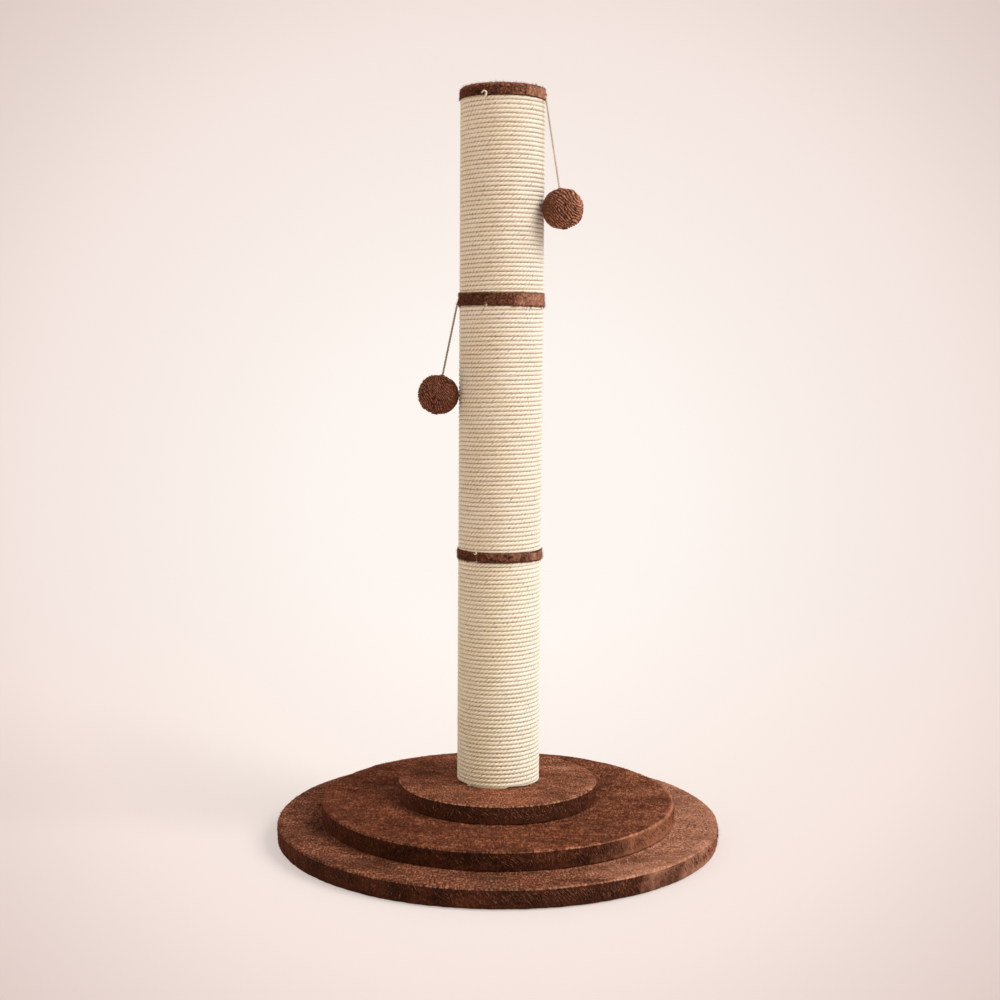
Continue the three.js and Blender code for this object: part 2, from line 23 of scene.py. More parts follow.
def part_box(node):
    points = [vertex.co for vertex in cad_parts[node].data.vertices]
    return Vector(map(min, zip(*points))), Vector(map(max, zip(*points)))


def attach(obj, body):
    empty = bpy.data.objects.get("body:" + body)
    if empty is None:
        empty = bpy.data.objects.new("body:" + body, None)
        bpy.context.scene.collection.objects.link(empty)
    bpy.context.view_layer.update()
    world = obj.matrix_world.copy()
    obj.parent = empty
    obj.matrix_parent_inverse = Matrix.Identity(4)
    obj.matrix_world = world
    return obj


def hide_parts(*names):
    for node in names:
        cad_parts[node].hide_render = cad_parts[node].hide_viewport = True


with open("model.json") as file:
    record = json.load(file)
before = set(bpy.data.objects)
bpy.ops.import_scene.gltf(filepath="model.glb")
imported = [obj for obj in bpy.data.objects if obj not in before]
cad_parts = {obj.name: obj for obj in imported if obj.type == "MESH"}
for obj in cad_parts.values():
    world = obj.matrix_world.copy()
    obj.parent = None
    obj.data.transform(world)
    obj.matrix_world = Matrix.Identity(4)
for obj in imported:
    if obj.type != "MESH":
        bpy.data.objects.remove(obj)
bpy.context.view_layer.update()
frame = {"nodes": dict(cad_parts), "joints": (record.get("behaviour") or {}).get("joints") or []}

LOG = logging.getLogger("scratching_post")
MM = 0.001
FULL_TURN = 2 * math.pi
RUN = "run"  # attribute: a point's place in its own yarn, unrolled
HEIGHT = "height"  # attribute: 0 in a hollow of the relief, 1 on a crest; on the rope it also carries painted shade
MAP = "OFBake"  # the map that lays a piece out flat
FIT_GAP = 0.3 * MM  # between a soft piece and the board or tube that it covers
HASH_PRIMES = (73856093, 19349663, 83492791, 668265263, 374761393)
HASH_ROUNDS = ((13, 1274126177), (16, 2246822519))
HASH_LAST_SHIFT = 15
SWELL_GAIN = 1.6  # brings random swells to about -1 to 1

Array = np.ndarray
Colour = tuple[float, float, float, float]
Piece = bpy.types.Object
Random = np.random.Generator
Span = tuple[float, float]
Triple = tuple[float, float, float]


def rgb(red: int, green: int, blue: int) -> Colour:
    """A display colour as the linear colour that shaders take.

    Args:
        red: Its red, from 0 to 255.
        green: Its green.
        blue: Its blue.

    Returns:
        The colour, opaque.
    """
    shares = (value / 255 for value in (red, green, blue))
    linear = (s / 12.92 if s <= 0.04045 else ((s + 0.055) / 1.055) ** 2.4 for s in shares)
    return (*linear, 1.0)


class Slot(Enum):
    """The record's material slots."""

    PLUSH = "plush"
    SISAL = "sisal"
    CORD = "cord"
    BACKING = "backing"
    STUFFING = "stuffing"
    STEEL = "steel"


class Body(Enum):
    """The parts of a toy that move on their own."""

    PIVOT = "toy_pivot"
    CORD = "toy_cord"
    BALL = "toy_ball"


# ---- Shader maths ----


class Signal:
    """A shader socket that takes part in Python expressions."""

    def __init__(self, recipe: "Recipe", socket: bpy.types.NodeSocket) -> None:
        """Wraps one output socket of a recipe's nodes."""
        self.recipe = recipe
        self.socket = socket

    def _join(self, operation: str, first: "Feed", second: "Feed") -> "Signal":
        """Adds the node for one operation on values or on vectors.

        Args:
            operation: The operation, as the node names it.
            first: What stands before the operator.
            second: What stands after it.

        Returns:
            The result.
        """
        if self.socket.type == "RGBA":
            raise TypeError("colours go through Recipe.mix")
        kind = "ShaderNodeVectorMath" if self.socket.type == "VECTOR" else "ShaderNodeMath"
        return self.recipe.node(kind, {"operation": operation}, {0: first, 1: second})

    def __add__(self, other: "Feed") -> "Signal":
        """The sum."""
        return self._join("ADD", self, other)

    def __radd__(self, other: "Feed") -> "Signal":
        """The sum, with the number first."""
        return self._join("ADD", other, self)

    def __sub__(self, other: "Feed") -> "Signal":
        """The difference."""
        return self._join("SUBTRACT", self, other)

    def __rsub__(self, other: "Feed") -> "Signal":
        """The difference, with the number first."""
        return self._join("SUBTRACT", other, self)

    def __mul__(self, other: "Feed") -> "Signal":
        """The product."""
        return self._join("MULTIPLY", self, other)

    def __rmul__(self, other: "Feed") -> "Signal":
        """The product, with the number first."""
        return self._join("MULTIPLY", other, self)

    def __truediv__(self, other: "Feed") -> "Signal":
        """The quotient."""
        return self._join("DIVIDE", self, other)

    def __rtruediv__(self, other: "Feed") -> "Signal":
        """The quotient, with the number first."""
        return self._join("DIVIDE", other, self)

    def __pow__(self, other: "Feed") -> "Signal":
        """The power."""
        return self._join("POWER", self, other)


Feed = Union[Signal, float, tuple[float, ...]]


class Recipe:
    """The nodes of one material or world."""

    def __init__(self, owner: Union[bpy.types.Material, bpy.types.World]) -> None:
        """Starts with an empty node tree.

        Args:
            owner: The material or world that the nodes belong to.
        """
        owner.use_nodes = True
        self.tree = owner.node_tree
        self.tree.nodes.clear()

    def node(
        self,
        kind: str,
        settings: dict[str, object] | None = None,
        sockets: dict[Union[int, str], Feed] | None = None,
        output: Union[int, str] = 0,
    ) -> Signal:
        """Adds a node.

        Args:
            kind: The node's type.
            settings: Its options, which are set first. "stops" are a ramp's.
            sockets: What its inputs hold or are fed by, by place or name.
            output: The output to return.

        Returns:
            The chosen output.
        """
        made = self.tree.nodes.new(kind)
        for option, value in (settings or {}).items():
            if option == "stops":
                self._set_stops(made.color_ramp, value)
            else:
                setattr(made, option, value)
        for place, value in (sockets or {}).items():
            socket = made.inputs[place]
            if isinstance(value, Signal):
                self.tree.links.new(value.socket, socket)
            elif socket.type == "VECTOR" and not isinstance(value, tuple):
                socket.default_value = (value,) * 3
            else:
                socket.default_value = value
        return Signal(self, made.outputs[output])

    @staticmethod
    def _set_stops(ramp: bpy.types.ColorRamp, stops: tuple[tuple[float, Colour], ...]) -> None:
        """Gives a ramp its stops.

        Args:
            ramp: The ramp.
            stops: The place, from 0 to 1, and the colour of each stop.
        """
        while len(ramp.elements) < len(stops):
            ramp.elements.new(1.0)
        for element, (place, colour) in zip(ramp.elements, stops):
            element.position = place
            element.color = colour

    def place(self) -> Signal:
        """The place on the piece, in metres."""
        return self.node("ShaderNodeTexCoord", output="Object")

    def mark(self, name: str, output: str) -> Signal:
        """An attribute of the mesh."""
        return self.node("ShaderNodeAttribute", {"attribute_name": name}, output=output)

    def axis(self, vector: Signal, name: str) -> Signal:
        """One coordinate of a vector."""
        return self.node("ShaderNodeSeparateXYZ", {}, {0: vector}, name)

    def maths(self, operation: str, first: Signal, second: Feed = 0.0) -> Signal:
        """A value from an operation that has no sign of its own."""
        return self.node("ShaderNodeMath", {"operation": operation}, {0: first, 1: second})

    def length(self, vector: Signal) -> Signal:
        """The length of a vector."""
        return self.node("ShaderNodeVectorMath", {"operation": "LENGTH"}, {0: vector}, "Value")

    def cloud(
        self, size: float, detail: float = 2.0, rough: float = 0.5, at: Signal | None = None
    ) -> Signal:
        """Soft random values from 0 to 1 that change over about a size.

        Args:
            size: The width of the largest swells, in metres.
            detail: How many finer layers are added.
            rough: How strong the finer layers are.
            at: Where the values are read, or the place on the piece.

        Returns:
            The values.
        """
        sockets = {"Vector": at or self.place(), "Scale": 1 / size, "Detail": detail, "Roughness": rough}
        return self.node("ShaderNodeTexNoise", {}, sockets, "Fac")

    def between(self, value: Signal, low: float, high: float) -> Signal:
        """A smooth step from 0 to 1.

        Args:
            value: The value that the step follows.
            low: Where the step is 0. It may be the larger of the two.
            high: Where the step is 1.

        Returns:
            The step.
        """
        settings = {"interpolation_type": "SMOOTHSTEP"}
        sockets = {"Value": value, "From Min": low, "From Max": high}
        return self.node("ShaderNodeMapRange", settings, sockets)

    def mix(self, share: Feed, first: Feed, second: Feed) -> Signal:
        """A colour between two colours."""
        sockets = {"Factor": share, 6: first, 7: second}
        return self.node("ShaderNodeMix", {"data_type": "RGBA"}, sockets, 2)

    def bump(self, height: Signal, depth: float, under: Signal | None = None) -> Signal:
        """A normal that follows a height.

        Args:
            height: The height, from 0 to 1.
            depth: How deep the whole relief is, in metres.
            under: A coarser normal that it lies on.

        Returns:
            The normal.
        """
        sockets = {"Height": height, "Distance": depth}
        if under is not None:
            sockets["Normal"] = under
        return self.node("ShaderNodeBump", {}, sockets)

    def surface(self, shown: dict[str, Feed]) -> None:
        """Ends a material in one principled surface with these sockets."""
        self.end(self.node("ShaderNodeBsdfPrincipled", {}, shown))

    def end(self, shader: Signal, kind: str = "ShaderNodeOutputMaterial") -> None:
        """Ends a material or a world in a shader."""
        made = self.tree.nodes.new(kind)
        self.tree.links.new(shader.socket, made.inputs["Surface"])


# ---- Finishes ----


@dataclass(frozen=True)
class Finish:
    """A finish that pieces share."""

    name: str

    def cook(self, recipe: Recipe) -> None:
        """Adds the finish's nodes.

        Args:
            recipe: The nodes that take them.
        """
        raise NotImplementedError

    @lru_cache(maxsize=None)
    def material(self) -> bpy.types.Material:
        """The Blender material, which is made once."""
        made = bpy.data.materials.new(self.name)
        self.cook(Recipe(made))
        return made


@dataclass(frozen=True)
class Plush(Finish):
    """Short pile with pale tips, with painted light and painted shade that change across X and round the
    sides.
    """

    shade: Colour = rgb(22, 8, 3)
    pile: Colour = rgb(112, 54, 27)
    tips: Colour = rgb(220, 164, 134)
    sheen_tint: Colour = rgb(222, 112, 66)
    wave_size: float = 34 * MM
    lock_size: float = 12 * MM
    fleck_size: float = 2.2 * MM
    waved: Triple = (0.5, 1.0, 0.8)  # less along an axis makes longer waves
    brushed: Triple = (1.0, 0.45, 0.7)  # the same, for the flecks
    wave_edge: Span = (0.41, 0.59)  # the cloud's values where a wave begins and is whole
    lock_edge: Span = (0.42, 0.58)  # the same, for a lock
    grain_edge: Span = (0.36, 0.64)  # the same, for the grain of the pile
    fleck_edge: Span = (0.45, 0.68)  # the same, for a pale fleck
    top_edge: Span = (0.3, 0.85)  # how far up a normal points where a side ends and a top begins
    painted_light_edge: Span = (0.3, 0.8)  # the painted light where the pile begins to be painted lighter and is lightest
    painted_shade_edge: Span = (0.05, -0.75)  # the same, for the painted shade
    grain_share: float = 0.28  # how much of the tone the grain sets
    painted_light_strength: float = 0.3  # how much lighter the painted light makes the pile where it is lightest
    painted_shade_strength: float = 0.6  # how much of its tone the painted shade takes where it is deepest
    tip_share: float = 0.6
    side_share: float = 0.12  # how much of the pale tips the sides show, with their hanging pile and painted shade on the sides
    side_tone: float = 0.4  # how much of its own tone a side keeps, with its hanging pile and painted shade on the sides
    painted_light_on_sides: float = 0.1  # painted light: how much lighter a side that faces +X is
    painted_light_across: float = 3.4  # painted light: how much lighter the pile gets with each metre to +X
    outward: float = 0.0  # how much lighter it gets away from the axis on either side
    outward_share: float = 0.4  # how much of that the hanging pile shows
    side_lag: float = 0.28  # how much less painted light the sides get than the top
    painted_edge_highlight: float = 0.35  # painted highlight: how pale the pile is painted along a rounded edge
    tips_in_painted_light: float = 0.3  # how many pale tips the painted light adds
    fraying: float = 0.12  # how far single hairs cross from one wave or lock into the next
    relief: float = 0.4 * MM
    relief_tone: float = 0.3  # how much of the tone the modelled relief sets
    sheen: float = 0.3

    def cook(self, recipe: Recipe) -> None:
        """Brushed waves and locks, pale fibre tips, painted light and painted shade, a painted highlight
        along rounded edges and a velvet sheen.
        """
        place = recipe.place()
        waves = recipe.cloud(self.wave_size, 3.0, 0.55, place * self.waved)
        locks = recipe.cloud(self.lock_size, 3.0, 0.6, place * self.waved)
        flecks = recipe.cloud(self.fleck_size, 2.0, 0.65, place * self.brushed)
        normal = recipe.node("ShaderNodeTexCoord", output="Normal")
        upward = recipe.between(recipe.axis(normal, "Z"), *self.top_edge)
        # painted light and painted shade, broken up by the waves
        light_and_waves = self._painted_light_field(recipe, place, normal, upward) + waves - 0.5
        modelled = recipe.mark(HEIGHT, "Fac") * self.relief_tone
        frayed = (flecks - 0.5) * self.fraying
        wave = recipe.between(waves + frayed, *self.wave_edge)
        lock = recipe.between(locks + frayed, *self.lock_edge)
        tone = (wave * 0.5 + lock * 0.5) * (1 - self.relief_tone) + modelled
        grain = recipe.between(flecks, *self.grain_edge)
        # painted light: lighter where the field is high, with less of it on the sides
        painted_light = recipe.between(light_and_waves + frayed - (1 - upward) * self.side_lag, *self.painted_light_edge)
        # painted shade where the field is low
        painted_shade = recipe.between(light_and_waves, *self.painted_shade_edge)
        # painted highlight along the rounded edges, where a top turns into a side
        edge_highlight = upward * (1 - upward) * (4 * self.painted_edge_highlight)
        # painted shade on the sides and where the painted shade falls: fewer pale tips and less of the
        # pile's tone
        shown = (upward * (1 - self.side_share) + self.side_share) * (1 - painted_shade * self.painted_shade_strength)
        side_shaded_tone = shown * (1 - self.side_tone) + self.side_tone
        grained = tone * (1 - self.grain_share) + grain * self.grain_share
        depth = grained * side_shaded_tone + painted_light * self.painted_light_strength
        body = recipe.mix(depth, self.shade, self.pile)
        fleck = recipe.between(flecks, *self.fleck_edge)
        pale = (fleck * (tone * 0.75 + 0.1) + modelled * 0.35) * shown
        # more pale tips where the painted light falls
        turned = painted_light * (self.tips_in_painted_light + 0.35 * tone)
        share = (pale + turned + edge_highlight * grain) * self.tip_share
        coarse = recipe.bump(locks, 4 * self.relief)
        recipe.surface({
            "Base Color": recipe.mix(share, body, self.tips),
            "Roughness": 0.95,
            "Specular IOR Level": 0.1,
            "Sheen Weight": self.sheen,
            "Sheen Roughness": 0.4,
            "Sheen Tint": self.sheen_tint,
            "Normal": recipe.bump(flecks, self.relief, coarse),
        })

    def _painted_light_field(self, recipe: Recipe, place: Signal, normal: Signal, upward: Signal) -> Signal:
        """How much painted light each place gets, from how far it lies towards +X, how far its side
        faces +X and how far it lies from the axis.

        Args:
            recipe: The nodes that take it.
            place: The place on the piece.
            normal: The surface's normal.
            upward: 1 on a top and 0 on a side.

        Returns:
            The painted light, where more is painted lighter and less brings painted shade.
        """
        turned, across = recipe.axis(normal, "X"), recipe.axis(place, "X")
        from_axis = recipe.length(place * (1.0, 1.0, 0.0))
        to_side = recipe.maths("ABSOLUTE", across)
        shown = upward * (1 - self.outward_share) + self.outward_share
        spread = to_side * from_axis * shown * self.outward
        return turned * self.painted_light_on_sides + across * self.painted_light_across + spread


@dataclass(frozen=True)
class Yarn(Finish):
    """Spun fibre: rope, cord and the loose fibres on them."""

    hollow: Colour = rgb(166, 112, 58)
    crest: Colour = rgb(250, 236, 208)
    # the colour of the pale patches, and of the painted light on the side that faces +X
    bleached_and_lit: Colour = rgb(253, 247, 234)
    # the colour of the specks of painted shade in the hollows
    knot: Colour = rgb(86, 54, 30)
    fibre_width: float = 0.35 * MM
    fibre_length: float = 9 * MM
    patch_size: float = 26 * MM
    shade_speck_size: float = 3.2 * MM
    relief: float = 0.25 * MM
    sheen: float = 0.25
    painted_lit_side: float = 0.0  # painted light: how much lighter the side is that faces +X
    painted_lit_side_edge: Span = (-20 * MM, 45 * MM)  # where along X that begins and is whole
    strand_edge: Span = (0.0, 0.8)  # the heights where a hollow ends and a crest begins
    streak_edge: Span = (0.58, 0.3)  # the cloud's values where a dark streak begins and is whole
    fibre_edge: Span = (0.35, 0.65)  # the same, for a pale fibre
    patch_edge: Span = (0.4, 0.7)  # the same, for a pale patch
    shade_speck_edge: Span = (0.63, 0.7)  # the same, for a speck of painted shade
    shade_speck_heights: Span = (0.8, 0.4)  # the heights where a speck of painted shade begins to show and is whole
    streak_strength: float = 0.3
    patch_strength: float = 0.6
    shade_speck_strength: float = 0.8

    def cook(self, recipe: Recipe) -> None:
        """Dark hollows between the strands with grime and painted shade, painted shade between turns and
        in dark specks, fibres along the strands, pale patches and painted light on the side that faces
        +X.
        """
        run = recipe.mark(RUN, "Vector")
        along = run * (self.fibre_width / self.fibre_length, 1.0, 1.0)
        fibres = recipe.cloud(self.fibre_width, 2.0, 0.6, along)
        patches = recipe.cloud(self.patch_size, 3.0, 0.6)
        crest = recipe.mark(HEIGHT, "Fac")
        # deeper colour in the hollows: grime and painted shade
        strand = recipe.mix(recipe.between(crest, *self.strand_edge), self.hollow, self.crest)
        streaks = recipe.between(fibres, *self.streak_edge) * self.streak_strength
        streaked = recipe.mix(streaks, strand, self.hollow)
        pale = recipe.between(patches, *self.patch_edge) * recipe.between(fibres, *self.fibre_edge)
        pale = pale * (self.patch_strength * (1 - self.painted_lit_side / 2))
        # painted light on the side that faces +X
        fading = recipe.between(recipe.axis(recipe.place(), "X"), *self.painted_lit_side_edge) * self.painted_lit_side
        patched_and_lit = recipe.mix(pale + fading, streaked, self.bleached_and_lit)
        # specks of painted shade in the hollows, where the strands' valleys meet
        specks = recipe.between(recipe.cloud(self.shade_speck_size, 1.0), *self.shade_speck_edge)
        knots = specks * recipe.between(crest, *self.shade_speck_heights)
        colour = recipe.mix(knots * self.shade_speck_strength, patched_and_lit, self.knot)
        recipe.surface({
            "Base Color": colour,
            "Roughness": 0.82,
            "Specular IOR Level": 0.25,
            "Sheen Weight": self.sheen,
            "Sheen Roughness": 0.5,
            "Normal": recipe.bump(fibres, self.relief),
        })


@dataclass(frozen=True)
class Chipboard(Finish):
    """Pressed wood flakes."""

    light: Colour = rgb(214, 186, 142)
    dark: Colour = rgb(148, 112, 70)
    flake: float = 2.6 * MM
    flattened: float = 2.5  # how much wider a flake is than it is thick
    relief: float = 0.2 * MM

    def cook(self, recipe: Recipe) -> None:
        """Flakes of several tones with dark specks between them."""
        pressed = recipe.place() * (1.0, 1.0, self.flattened)
        sockets = {"Vector": pressed, "Scale": 1 / self.flake}
        cells = recipe.node("ShaderNodeTexVoronoi", {}, sockets, "Color")
        tone = recipe.node("ShaderNodeSeparateColor", {}, {0: cells})
        specks = recipe.between(recipe.cloud(self.flake / 2, 3.0, 0.7), 0.56, 0.7)
        flaked = recipe.mix(tone, self.dark, self.light)
        colour = recipe.mix(specks * 0.6, flaked, self.dark)
        height = tone * 0.5 + specks * -0.5 + 0.5
        normal = recipe.bump(height, self.relief)
        recipe.surface({"Base Color": colour, "Roughness": 0.85, "Normal": normal})


@dataclass(frozen=True)
class Cardboard(Finish):
    """A tube wound from strips of brown paper."""

    paper: Colour = rgb(178, 142, 98)
    seam: Colour = rgb(112, 84, 54)
    strip: float = 75 * MM  # how far the seam rises in each turn
    seam_width: float = 0.03  # as a share of that
    grain_size: float = 1.5 * MM
    relief: float = 0.3 * MM

    def cook(self, recipe: Recipe) -> None:
        """Fine paper grain and one seam that winds up the tube."""
        place = recipe.place()
        x, y, z = (recipe.axis(place, name) for name in ("X", "Y", "Z"))
        around = recipe.maths("ARCTAN2", y, x) / FULL_TURN
        turn = recipe.maths("FRACT", z / self.strip + around + 1)
        seam = recipe.between(turn, self.seam_width, 0.0)
        grain = recipe.cloud(self.grain_size, 4.0, 0.7, place * (1.0, 1.0, 0.3))
        paper = recipe.mix(recipe.between(grain, 0.35, 0.7) * 0.4, self.paper, self.seam)
        colour = recipe.mix(seam * 0.8, paper, self.seam)
        normal = recipe.bump(grain * 0.3 + (1 - seam) * 0.7, self.relief)
        recipe.surface({"Base Color": colour, "Roughness": 0.9, "Normal": normal})


@dataclass(frozen=True)
class Zinc(Finish):
    """Zinc-plated steel, threaded or plain."""

    plate: Colour = rgb(198, 200, 204)
    dull: Colour = rgb(150, 152, 158)
    thread: float = 1.25 * MM
    thread_depth: float = 0.35 * MM
    cloud_size: float = 3 * MM
    relief: float = 0.05 * MM

    def cook(self, recipe: Recipe) -> None:
        """Cloudy plating, with the thread's ridges across Z."""
        clouds = recipe.cloud(self.cloud_size, 4.0, 0.6)
        ridge = recipe.maths("PINGPONG", recipe.axis(recipe.place(), "Z"), self.thread / 2)
        worn = recipe.bump(ridge / (self.thread / 2), self.thread_depth)
        recipe.surface({
            "Base Color": recipe.mix(clouds, self.plate, self.dull),
            "Metallic": 1.0,
            "Roughness": clouds * 0.3 + 0.22,
            "Normal": recipe.bump(clouds, self.relief, worn),
        })


@dataclass(frozen=True)
class Felt(Finish):
    """Loose pressed fibres: the black backing sheet and the balls' stuffing."""

    dark: Colour = rgb(24, 23, 23)
    light: Colour = rgb(58, 56, 55)
    fibre: float = 0.8 * MM
    relief: float = 0.3 * MM

    def cook(self, recipe: Recipe) -> None:
        """Fibres that cross every way, pressed into small dimples."""
        fibres = recipe.cloud(self.fibre, 4.0, 0.75)
        sockets = {"Vector": recipe.place(), "Scale": 1 / (4 * self.fibre)}
        cells = recipe.node("ShaderNodeTexVoronoi", {}, sockets, "Distance")
        dimples = recipe.between(cells, 0.0, 0.45)
        colour = recipe.mix(recipe.between(fibres, 0.35, 0.65) * dimples, self.dark, self.light)
        normal = recipe.bump(fibres * 0.5 + dimples * 0.5, self.relief)
        recipe.surface({"Base Color": colour, "Roughness": 0.95, "Normal": normal})


LOWER_PLUSH = Plush(
    "lower_pile",
    side_share=0.09,
    side_tone=0.32,
    painted_light_on_sides=0.8,
    painted_light_across=2.5,
    outward=8.0,
    side_lag=0.6,
)
# a deeper brown pile than the lower tier: painted shade on the middle tier, as well as its own tone
MIDDLE_PLUSH = replace(
    LOWER_PLUSH,
    name="middle_pile",
    outward=0.0,
    pile=rgb(104, 49, 25),
    tips=rgb(206, 142, 108),
    side_share=0.12,
    side_tone=0.4,
    painted_light_on_sides=1.1,
    painted_light_across=2.4,
    side_lag=0.4,
    painted_edge_highlight=0.45,
    tips_in_painted_light=0.45,
)
UPPER_PLUSH = replace(
    LOWER_PLUSH,
    name="upper_pile",
    pile=rgb(152, 84, 52),
    tips=rgb(230, 176, 144),
    side_share=0.02,
    side_tone=0.25,
    painted_light_on_sides=-0.2,
    painted_light_across=5.5,
    outward=0.0,
    side_lag=0.3,
    painted_edge_highlight=0.8,
)
TRIM_PLUSH = Plush(
    "trim_pile",
    wave_size=16 * MM,
    lock_size=4 * MM,
    fleck_size=1.7 * MM,
    waved=(1.0, 1.0, 1.0),
    brushed=(1.0, 1.0, 1.0),
    side_lag=0.0,
    tip_share=0.8,
    side_share=0.5,
    painted_light_on_sides=0.9,
    painted_light_across=0.0,
    painted_edge_highlight=0.1,
    relief=0.3 * MM,
    relief_tone=0.5,
)
UPPER_BALL_PLUSH = replace(
    TRIM_PLUSH,
    name="upper_ball_pile",
    shade=rgb(26, 8, 3),
    pile=rgb(124, 57, 31),
    tips=rgb(240, 178, 146),
    wave_size=14 * MM,
    fleck_size=1.4 * MM,
    side_share=1.0,
    painted_light_on_sides=0.7,
    painted_edge_highlight=0.0,
    relief=0.25 * MM,
    relief_tone=0.9,
)
# painted shade: a deeper brown pile than the upper ball, as it hangs in the post's shade, and deeper
# still on its side that faces +X, next to the post
SHADED_LOWER_BALL_PLUSH = replace(
    UPPER_BALL_PLUSH,
    name="lower_ball_pile",
    pile=rgb(98, 43, 24),
    tips=rgb(214, 148, 118),
    painted_light_on_sides=-0.2,
)
SISAL = Yarn("sisal", painted_lit_side=0.5)
# lighter crests than the sisal above it: painted light on the lower rope, and a deeper colour in its
# hollows
LOWER_SISAL = replace(SISAL, name="lower_sisal", hollow=rgb(146, 94, 44), crest=rgb(253, 240, 208))
LOOSE_SISAL = replace(SISAL, name="loose_sisal", hollow=rgb(236, 212, 176), knot=rgb(186, 146, 104))
UPPER_CORD = Yarn(
    "upper_cord_yarn",
    hollow=rgb(132, 116, 98),
    crest=rgb(232, 220, 198),
    bleached_and_lit=rgb(246, 240, 226),
)
LOWER_CORD = Yarn(
    "lower_cord_yarn",
    hollow=rgb(96, 78, 62),
    crest=rgb(186, 166, 142),
    bleached_and_lit=rgb(214, 200, 180),
)
CHIPBOARD = Chipboard("chipboard")
PLYWOOD = Chipboard("plug_wood", light=rgb(222, 196, 152), dark=rgb(178, 142, 96), flake=5 * MM)
CARDBOARD = Cardboard("cardboard")
ZINC = Zinc("zinc")
SMOOTH_ZINC = Zinc("smooth_zinc", thread_depth=0.0)
BACKING = Felt("backing_felt")
STUFFING = Felt(
    "stuffing",
    dark=rgb(186, 180, 168),
    light=rgb(238, 234, 226),
    fibre=1.6 * MM,
    relief=0.6 * MM,
)


# ---- Shapes ----


def unit(vectors: Array) -> Array:
    """Vectors scaled to length one."""
    return vectors / np.maximum(norm(vectors, axis=-1, keepdims=True), 1e-12)


def outward(angle: float) -> Array:
    """The way out from the post's axis at an angle round it."""
    return np.array([math.cos(angle), math.sin(angle), 0.0])


def sideways(angle: float) -> Array:
    """The way round the post at an angle, anticlockwise from above."""
    return np.array([-math.sin(angle), math.cos(angle), 0.0])


def on_a_line(distances: Array) -> Array:
    """Distances as points on a line, for the swells along it."""
    return np.stack([distances, 0 * distances, 0 * distances], axis=1)


def scattered(lattice: Array, seed: int) -> Array:
    """Three random numbers from -1 to 1 for each whole-numbered place.

    Args:
        lattice: Places, as whole numbers, three to a row.
        seed: Picks another set of numbers.

    Returns:
        Three numbers to a row.
    """
    low_bits = 0xFFFFFFFF
    x_prime, y_prime, z_prime, seed_prime, channel_prime = HASH_PRIMES
    places = lattice[:, 0] * x_prime ^ lattice[:, 1] * y_prime ^ lattice[:, 2] * z_prime
    channels = []
    for channel in range(3):
        value = (places + seed * seed_prime + channel * channel_prime) & low_bits
        for shift, factor in HASH_ROUNDS:
            value = ((value ^ (value >> shift)) * factor) & low_bits
        channels.append((value ^ (value >> HASH_LAST_SHIFT)) / 2**31 - 1)
    return np.stack(channels, axis=1)


def swells(points: Array, size: float, seed: int) -> Array:
    """Smooth random heights, mostly from -1 to 1, that change over about a size.

    Args:
        points: Places in metres, in an array whose last axis is x, y, z.
        size: The width of one swell, in metres.
        seed: Picks another set of swells.

    Returns:
        One height for each point.
    """
    cells = points.reshape(-1, 3) / size
    corner = np.floor(cells).astype(np.int64)
    inside = cells - corner
    ease = inside**3 * (inside * (inside * 6 - 15) + 10)
    total = np.zeros(len(cells))
    for step in itertools.product((0, 1), repeat=3):
        slope = scattered(corner + step, seed)
        share = np.where(step, ease, 1 - ease).prod(axis=1)
        total += share * ((inside - step) * slope).sum(axis=1)
    return (SWELL_GAIN * total).reshape(points.shape[:-1])


@dataclass
class Patch:
    """A run of faces with the same number of corners, and where they lie when unrolled."""

    faces: Array
    unrolled: Array
    length: float
    width: float


